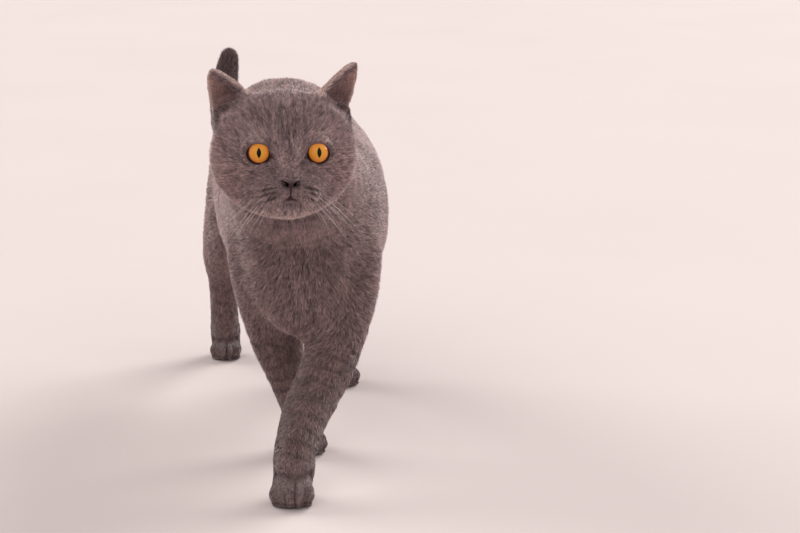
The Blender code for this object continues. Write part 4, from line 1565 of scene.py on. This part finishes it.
addLids(skinMesh)
lidAround = np.linspace(0, 2 * math.pi, lidShape["steps"], endpoint=False)
lidDark = mix(1.0, lidShape["topDark"], smoothStep(-0.1, 0.7, np.sin(lidAround)))[:, None]
lidCorner = hump(lidAround, eyeShape["cornerAt"], eyeShape["cornerWide"])[:, None]
ringColours = []
for past, _, dark in lidShape["rings"]:
    share = np.clip(dark * lidDark + lidCorner * (past < 0.05), 0, 1)
    ringColours.append(mix(coatColours["face"] * lidShape["furShade"], coatColours["lid"], share))
lidColours = np.concatenate([skinColours, np.tile(np.concatenate(ringColours), (2, 1))])
setColours(skinMesh, lidColours)
skinMesh.materials.append(skinMaterial())
skinMesh.materials.append(lidMaterial())
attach(skin, "root")
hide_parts(*[n for n in fleshNodes if n != "nose"])
print("lids added, skin coloured")


# the eyeballs

irisLook = {
    "middle": srgb(214, 137, 54),
    "edge": srgb(166, 80, 18),
    "inner": srgb(202, 150, 42),
    "streak": srgb(238, 182, 104),
    "ring": srgb(50, 20, 10),
    "pupil": (0.0035, 0.0025, 0.0025),
    "irisRadius": 0.0099,
    "irisUp": 0.0009,         # the iris sits this far over the middle of the opening
    "irisOut": 0.0003,        # and this far outward
    "pupilWide": 0.00165,
    "pupilHigh": 0.0041,
    "mapSize": 0.024,         # this much of the ball from side to side fills its map
    "innerFrom": 0.22,        # shares of the iris's radius where the colours change
    "edgeFrom": 0.56,
    "ringFrom": 0.735,
    "wave": 0.22,             # how unevenly they do
    "fibres": 0.55,           # strength of the pale fibres and of the darker blotches
    "blotches": 0.35,
    "cornea": 0.0011,
    "corneaRadius": 0.0100,
    "rings": 56,
    "segments": 72,
}


def product(tree, first, second, clamp=False):
    return calc(tree, "MULTIPLY", first, second, clamp)


def fadeFrom(tree, value, start, steep):
    # 0 up to start, then rising to 1
    return product(tree, calc(tree, "SUBTRACT", value, start), steep, True)


def eyeMaterial():
    gloss = (
        ("Coat Weight", 0.5),
        ("Coat Roughness", 0.03),
        ("Coat IOR", 1.27),
        ("Specular IOR Level", 0.03),
    )
    material, tree, shader = newMaterial("cat_eye", 0.35, gloss)
    split = addNode(tree, "ShaderNodeSeparateXYZ")
    tree.links.new(addNode(tree, "ShaderNodeUVMap", uv_map="eyeMap").outputs[0], split.inputs[0])
    x, z = (
        product(tree, calc(tree, "SUBTRACT", split.outputs[k], 0.5), irisLook["mapSize"])
        for k in (0, 1)
    )
    z = calc(tree, "SUBTRACT", z, irisLook["irisUp"])
    reach = calc(tree, "SQRT", calc(tree, "ADD", product(tree, x, x), product(tree, z, z)))
    # fibres run from the pupil to the edge: fine round the iris, long along it
    safe = calc(tree, "MAXIMUM", reach, 0.0002)
    ray = addNode(tree, "ShaderNodeCombineXYZ")
    tree.links.new(product(tree, calc(tree, "DIVIDE", x, safe), 9.0), ray.inputs[0])
    tree.links.new(product(tree, calc(tree, "DIVIDE", z, safe), 9.0), ray.inputs[1])
    tree.links.new(product(tree, reach, 260.0), ray.inputs[2])
    fibre = noiseNode(tree, 1.6, 5, ray.outputs[0])
    blotch = noiseNode(tree, 320, 3)
    share = calc(tree, "DIVIDE", reach, irisLook["irisRadius"])
    wave = product(tree, calc(tree, "SUBTRACT", fibre, 0.5), irisLook["wave"])
    wavy = calc(tree, "ADD", share, wave)
    inner = fadeFrom(tree, wavy, irisLook["innerFrom"], 4.0)
    outer = fadeFrom(tree, wavy, irisLook["edgeFrom"], 2.6)
    ring = fadeFrom(tree, share, irisLook["ringFrom"], 10.0)
    streak = product(tree, fadeFrom(tree, fibre, 0.42, 2.6), irisLook["fibres"])
    blotch = product(tree, blotch, irisLook["blotches"])
    colour = blend(tree, inner, tuple(irisLook["inner"]), tuple(irisLook["middle"]))
    for amount, tone in ((outer, "edge"), (streak, "streak"), (blotch, "edge"), (ring, "ring")):
        colour = blend(tree, amount, colour, tuple(irisLook[tone]))
    wide = calc(tree, "DIVIDE", calc(tree, "ABSOLUTE", x), irisLook["pupilWide"])
    high = calc(tree, "DIVIDE", calc(tree, "ABSOLUTE", z), irisLook["pupilHigh"])
    past = calc(tree, "ADD", wide, calc(tree, "POWER", high, 2.0))
    within = product(tree, calc(tree, "SUBTRACT", 1.04, past), 9.0, True)
    colour = blend(tree, within, colour, irisLook["pupil"])
    tree.links.new(colour, shader.inputs["Base Color"])
    return material


def makeEye(name, side, material):
    # a ball with a bulging cornea over the opening
    centre, radius = eyePlace(side)
    bm = bmesh.new()
    layer = bm.loops.layers.uv.new("eyeMap")
    rings, segments = irisLook["rings"], irisLook["segments"]
    tilt = eyeShape["openingOut"] / radius * side
    rows = []
    for i in range(rings + 1):
        angle = math.pi * i / rings
        beside = math.sin(angle) * radius / irisLook["corneaRadius"]
        bulge = irisLook["cornea"] * max(0.0, 1 - beside ** 2) ** 1.5
        reach = radius - 0.0002 + (bulge if angle < math.pi / 2 else 0)
        row = []
        for j in range(1 if i in (0, rings) else segments):
            around = 2 * math.pi * j / segments
            right, up = math.sin(angle) * math.cos(around), math.sin(angle) * math.sin(around)
            x = right * math.cos(tilt) + math.cos(angle) * math.sin(tilt)
            y = right * math.sin(tilt) - math.cos(angle) * math.cos(tilt)
            place = headTurn @ (np.array([x, y, up]) * reach) + centre
            onMap = (right * radius - irisLook["irisOut"] * side, up * radius)
            row.append((bm.verts.new(place), [v / irisLook["mapSize"] + 0.5 for v in onMap]))
        rows.append(row)
    for upper, lower in zip(rows, rows[1:]):
        for j in range(segments):
            k = (j + 1) % segments
            ring = [upper[j % len(upper)], upper[k % len(upper)]]
            ring += [lower[k % len(lower)], lower[j % len(lower)]]
            unique = list({id(v[0]): v for v in ring}.values())
            face = bm.faces.new([v[0] for v in unique])
            face.smooth = True
            for loop, (_, uv) in zip(face.loops, unique):
                loop[layer].uv = uv
    bmesh.ops.recalc_face_normals(bm, faces=bm.faces)
    mesh = bpy.data.meshes.new(name)
    bm.to_mesh(mesh)
    bm.free()
    mesh.materials.append(material)
    obj = newObject(name, mesh)
    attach(obj, "root")
    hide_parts("eye_left" if side > 0 else "eye_right")


eyeFinish = eyeMaterial()
makeEye("eyeball_left", 1, eyeFinish)
makeEye("eyeball_right", -1, eyeFinish)
print("eyes made")


# the nose leather

noseLook = {
    "columns": 90,
    "rows": 80,
    "leather": srgb(103, 83, 85),
    "dark": srgb(60, 42, 47),
    # painted shade inside the openings of the nose
    "nostrilShade": srgb(6, 3, 3),
    "slit": [(0.0030, -0.0236), (0.0037, -0.0221), (0.0058, -0.0209), (0.0088, -0.0197)],
    "slitDeep": (0.0036, 0.0010),      # at its inner end and at its outer end
    "slitWide": (0.00112, 0.00040),
    "wings": 0.0005,                   # how proud the wings beside the tip are
    "groove": 0.0006,                  # how deep the line down the middle is
    "grooveWide": 0.00045,
    "edgeIn": 0.0019,                  # how far the edges go back into the coat
    "pebbles": 1500,
    "pebbleRelief": 0.35,
}


def surfaceAhead(tree, x, z):
    # how far forward the solid's surface lies at that place on the head
    start = Vector(fromHead(np.array((x, -0.10, z))))
    hit = tree.ray_cast(start, Vector(headTurn[:, 1]))[0]
    return toHead(asArray(hit)[None])[0, 1] if hit else -0.05


def noseRelief(x, z):
    # height over the plain surface: wings, nostrils and the groove between them
    side = abs(x)
    wings = noseLook["wings"] * math.exp(-((side - 0.0048) / 0.0026) ** 2 - ((z + 0.0188) / 0.0024) ** 2)
    gap, t = lineDistance(np.array([[side, z]]), noseLook["slit"])
    gap, t = float(gap[0]), float(t[0])
    wide = mix(*noseLook["slitWide"], float(smoothStep(0.0, 0.55, t)))
    pit = mix(*noseLook["slitDeep"], t) * math.exp(-((gap / wide) ** 4))
    groove = noseLook["groove"] * math.exp(-((side / noseLook["grooveWide"]) ** 2))
    groove *= float(smoothStep(-0.0185, -0.0215, z))
    return wings - pit - groove, pit


def leatherMaterial():
    gloss = (("Coat Weight", 0.05), ("Coat Roughness", 0.35), ("Specular IOR Level", 0.25))
    material, tree, shader = newMaterial("nose_leather", 0.50, gloss)
    colour = coatColourOf(tree)
    cells = addNode(tree, "ShaderNodeTexVoronoi", feature="DISTANCE_TO_EDGE")
    cells.inputs["Scale"].default_value = noseLook["pebbles"]
    where = addNode(tree, "ShaderNodeTexCoord").outputs["Object"]
    tree.links.new(where, cells.inputs["Vector"])
    grain = product(tree, noiseNode(tree, 700), 0.35)
    mottled = blend(tree, 1.0, colour, (0.6, 0.56, 0.58), "MULTIPLY")
    tree.links.new(blend(tree, grain, colour, mottled), shader.inputs["Base Color"])
    height = product(tree, cells.outputs["Distance"], 4.0, True)
    bumpFrom(tree, shader, height, noseLook["pebbleRelief"], 0.0003)
    return material


def makeNose():
    # a sheet laid over the nose solid, its edges turned back into the coat
    cage, faces, _ = joinedFlesh()
    tree = BVHTree.FromPolygons(cage, faces)
    columns, rows = noseLook["columns"], noseLook["rows"]
    points, colours = [], []
    for j in range(rows + 1):
        v = j / rows
        z = mix(noseShape["top"] + 0.0008, noseShape["bottom"] - 0.0006, v)
        half = float(noseHalf(v)) + 0.0006
        tone = mix(noseLook["leather"], noseLook["dark"], float(smoothStep(0.30, 0.72, v)))
        ends = float(smoothStep(0.48, 0.34, v)) + float(smoothStep(0.93, 1.0, v))
        for i in range(columns + 1):
            u = 2 * i / columns - 1
            x = u * half
            relief, pit = noseRelief(x, z)
            edge = min(abs(u) ** 7 + ends, 1)
            y = surfaceAhead(tree, x, z) - relief + 0.0002 + noseLook["edgeIn"] * edge
            points.append((x, y, z))
            # painted shade: near black in the pits, the deeper the darker
            colours.append(mix(tone, noseLook["nostrilShade"], min(1, pit / 0.0008)))
    points = np.array(points)
    grid = points[:, 1].reshape(rows + 1, columns + 1)
    for _ in range(2):
        around = grid[:-2, 1:-1] + grid[2:, 1:-1] + grid[1:-1, :-2] + grid[1:-1, 2:]
        grid[1:-1, 1:-1] = grid[1:-1, 1:-1] * 0.5 + 0.125 * around
    points[:, 1] = grid.ravel()
    quads = []
    for j in range(rows):
        for i in range(columns):
            a = j * (columns + 1) + i
            quads.append((a, a + columns + 1, a + columns + 2, a + 1))
    mesh = bpy.data.meshes.new("nose_leather")
    mesh.from_pydata(fromHead(points).tolist(), [], quads)
    smoothFaces(mesh)
    setColours(mesh, np.array(colours))
    mesh.materials.append(leatherMaterial())
    leather = newObject("nose_leather", mesh)
    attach(leather, "root")
    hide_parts("nose")


makeNose()
print("nose made")


# whiskers and brow hairs

whiskerLook = {
    "thick": 0.00024,
    "length": (0.026, 0.050),
    "browLength": (0.014, 0.020),
    "browThick": 0.6,         # a share of the whiskers' thickness
    "colour": srgb(206, 190, 182),
    "rootColour": srgb(116, 96, 94),
    "perRow": 4,
    "perBrow": 2,
    "steps": 12,
}


def addHair(points, faces, route, thick):
    # a tapering hair with four sides along a bent route
    route = np.array(route)
    start = len(points)
    count = len(route)
    for i, p in enumerate(route):
        ahead = unit(route[min(i + 1, count - 1)] - route[max(i - 1, 0)])
        side = unit(np.cross(ahead, (0.31, 0.17, 0.93)))  # no hair runs that way
        up = np.cross(side, ahead)
        radius = thick / 2 * (1 - 0.9 * i / (count - 1))
        for k in range(4):
            a = math.pi / 2 * k
            points.append(p + radius * (side * math.cos(a) + up * math.sin(a)))
    for i in range(count - 1):
        for k in range(4):
            a, b = start + i * 4 + k, start + i * 4 + (k + 1) % 4
            faces.append((a, b, b + 4, a + 4))
    faces.append(tuple(start + k for k in (3, 2, 1, 0)))
    faces.append(tuple(start + (count - 1) * 4 + k for k in range(4)))


def bentRoute(root, way, length, sag):
    # goes off along way and droops
    t = np.linspace(0, 1, whiskerLook["steps"])[:, None]
    way = unit(np.asarray(way, float))
    return np.asarray(root) + way * length * t + np.array(sag) * (t ** 2) * length


def onSkin(x, z):
    # the point of the skin straight behind that place on the face
    start = Vector(fromHead(np.array((x, -0.12, z))))
    hit = skinTree.ray_cast(start, Vector(headTurn[:, 1]))[0]
    return asArray(hit)


def whiskerRoutes(side):
    # rows on the muzzle, each whisker longer and turned further back than the one before it
    for r, row in enumerate(whiskerRows):
        for k in range(whiskerLook["perRow"]):
            t = 0.30 + 0.20 * k
            (xa, za), (xb, zb) = row[0], row[-1]
            root = onSkin(mix(xa, xb, t) * side, mix(za, zb, t))
            out = mix(0.55, 0.95, t) + rng.uniform(-0.06, 0.06)
            down = mix(0.60, 0.95, r / 2) + rng.uniform(-0.12, 0.12)
            way = headTurn @ np.array((out * side, mix(-0.42, -0.05, t), -down))
            sag = headTurn @ np.array((0.10 * side, 0.16, -0.26))
            length = mix(*whiskerLook["length"], t) * rng.uniform(0.8, 1.08)
            yield bentRoute(root, way, length, sag)


def browRoutes(side):
    for k in range(whiskerLook["perBrow"]):
        root = onSkin((0.0210 + 0.0040 * k) * side, 0.0140 + 0.0012 * k)
        way = headTurn @ np.array(((0.15 + 0.18 * k) * side, -0.35, 0.9))
        sag = headTurn @ np.array((0.12 * side, 0.35, -0.05))
        yield bentRoute(root, way, rng.uniform(*whiskerLook["browLength"]), sag)


def whiskerMaterial():
    material, tree, shader = newMaterial("whisker_hair", 0.35)
    uneven = product(tree, noiseNode(tree, 120, 2), 0.2)
    tree.links.new(blend(tree, uneven, coatColourOf(tree), (0, 0, 0)), shader.inputs["Base Color"])
    return material


def makeWhiskers():
    points, faces = [], []
    thick = whiskerLook["thick"]
    for side in (1, -1):
        for route in whiskerRoutes(side):
            addHair(points, faces, route, thick)
        for route in browRoutes(side):
            addHair(points, faces, route, thick * whiskerLook["browThick"])
    mesh = bpy.data.meshes.new("whiskers")
    mesh.from_pydata([tuple(p) for p in points], [], faces)
    smoothFaces(mesh)
    # grey at the root, as the fur is, and pale further out
    along = np.arange(len(points)) // 4 % whiskerLook["steps"] / (whiskerLook["steps"] - 1)
    pale = smoothStep(0.12, 0.45, along)[:, None]
    setColours(mesh, mix(whiskerLook["rootColour"], whiskerLook["colour"], pale))
    mesh.materials.append(whiskerMaterial())
    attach(newObject("whiskers", mesh), "root")


makeWhiskers()
print("whiskers made")


# floor, light and camera

floorLook = {
    "size": 12,
    "darker": (0.52, 0.455, 0.44),
    "lighter": (0.55, 0.485, 0.47),
}


def makeFloor():
    bm = bmesh.new()
    bmesh.ops.create_grid(bm, x_segments=4, y_segments=4, size=floorLook["size"])
    mesh = bpy.data.meshes.new("floor")
    bm.to_mesh(mesh)
    bm.free()
    material, tree, shader = newMaterial("pale_floor", 0.85, (("Specular IOR Level", 0.1),))
    cloud = blend(tree, noiseNode(tree, 2.0, 2), floorLook["darker"], floorLook["lighter"])
    tree.links.new(cloud, shader.inputs["Base Color"])
    mesh.materials.append(material)
    newObject("floor", mesh)


def addLight(name, comesFrom, softness, strength, colour):
    light = bpy.data.lights.new(name, "SUN")
    light.angle = math.radians(softness)
    light.energy = strength
    light.color = colour
    obj = newObject(name, light)
    obj.rotation_euler = (-Vector(comesFrom)).to_track_quat("-Z", "Y").to_euler()


lights = {
    # way the light comes from, softness in degrees, strength, colour
    "key": ((-0.55, -0.9, 1.15), 50, 0.93, (1.0, 0.965, 0.94)),
    "fill": ((0.9, -0.9, 0.5), 60, 0.70, (1.0, 0.95, 0.94)),
    "backRight": ((0.90, 0.75, 0.60), 40, 3.9, (1.0, 0.975, 0.975)),
    "backLeft": ((-0.95, 0.80, 0.50), 40, 2.8, (1.0, 0.97, 0.96)),
}
roomLight = {"colour": (1.0, 0.965, 0.955, 1), "strength": 0.48}
makeFloor()
for name, settings in lights.items():
    addLight(name, *settings)
world = bpy.data.worlds.new("studio")
world.use_nodes = True
background = world.node_tree.nodes["Background"]
background.inputs["Color"].default_value = roomLight["colour"]
background.inputs["Strength"].default_value = roomLight["strength"]
bpy.context.scene.world = world
bpy.context.scene.view_settings.view_transform = "Standard"

cameraSet = {
    "fromEyes": Vector((-0.10508, -1.48561, 0.26375)),
    "down": math.radians(13.5),
    "turn": math.atan2(0.1305, 0.9914),  # to the right of straight ahead
    "lens": 85,               # both in millimetres
    "sensor": 36,
}
camera = newObject("camera", bpy.data.cameras.new("camera"))
camera.data.lens = cameraSet["lens"]
camera.data.sensor_width = cameraSet["sensor"]
camera.location = eyeMiddle + cameraSet["fromEyes"]
camera.rotation_euler = (math.pi / 2 - cameraSet["down"], 0, -cameraSet["turn"])
bpy.context.scene.camera = camera
print("stage set")
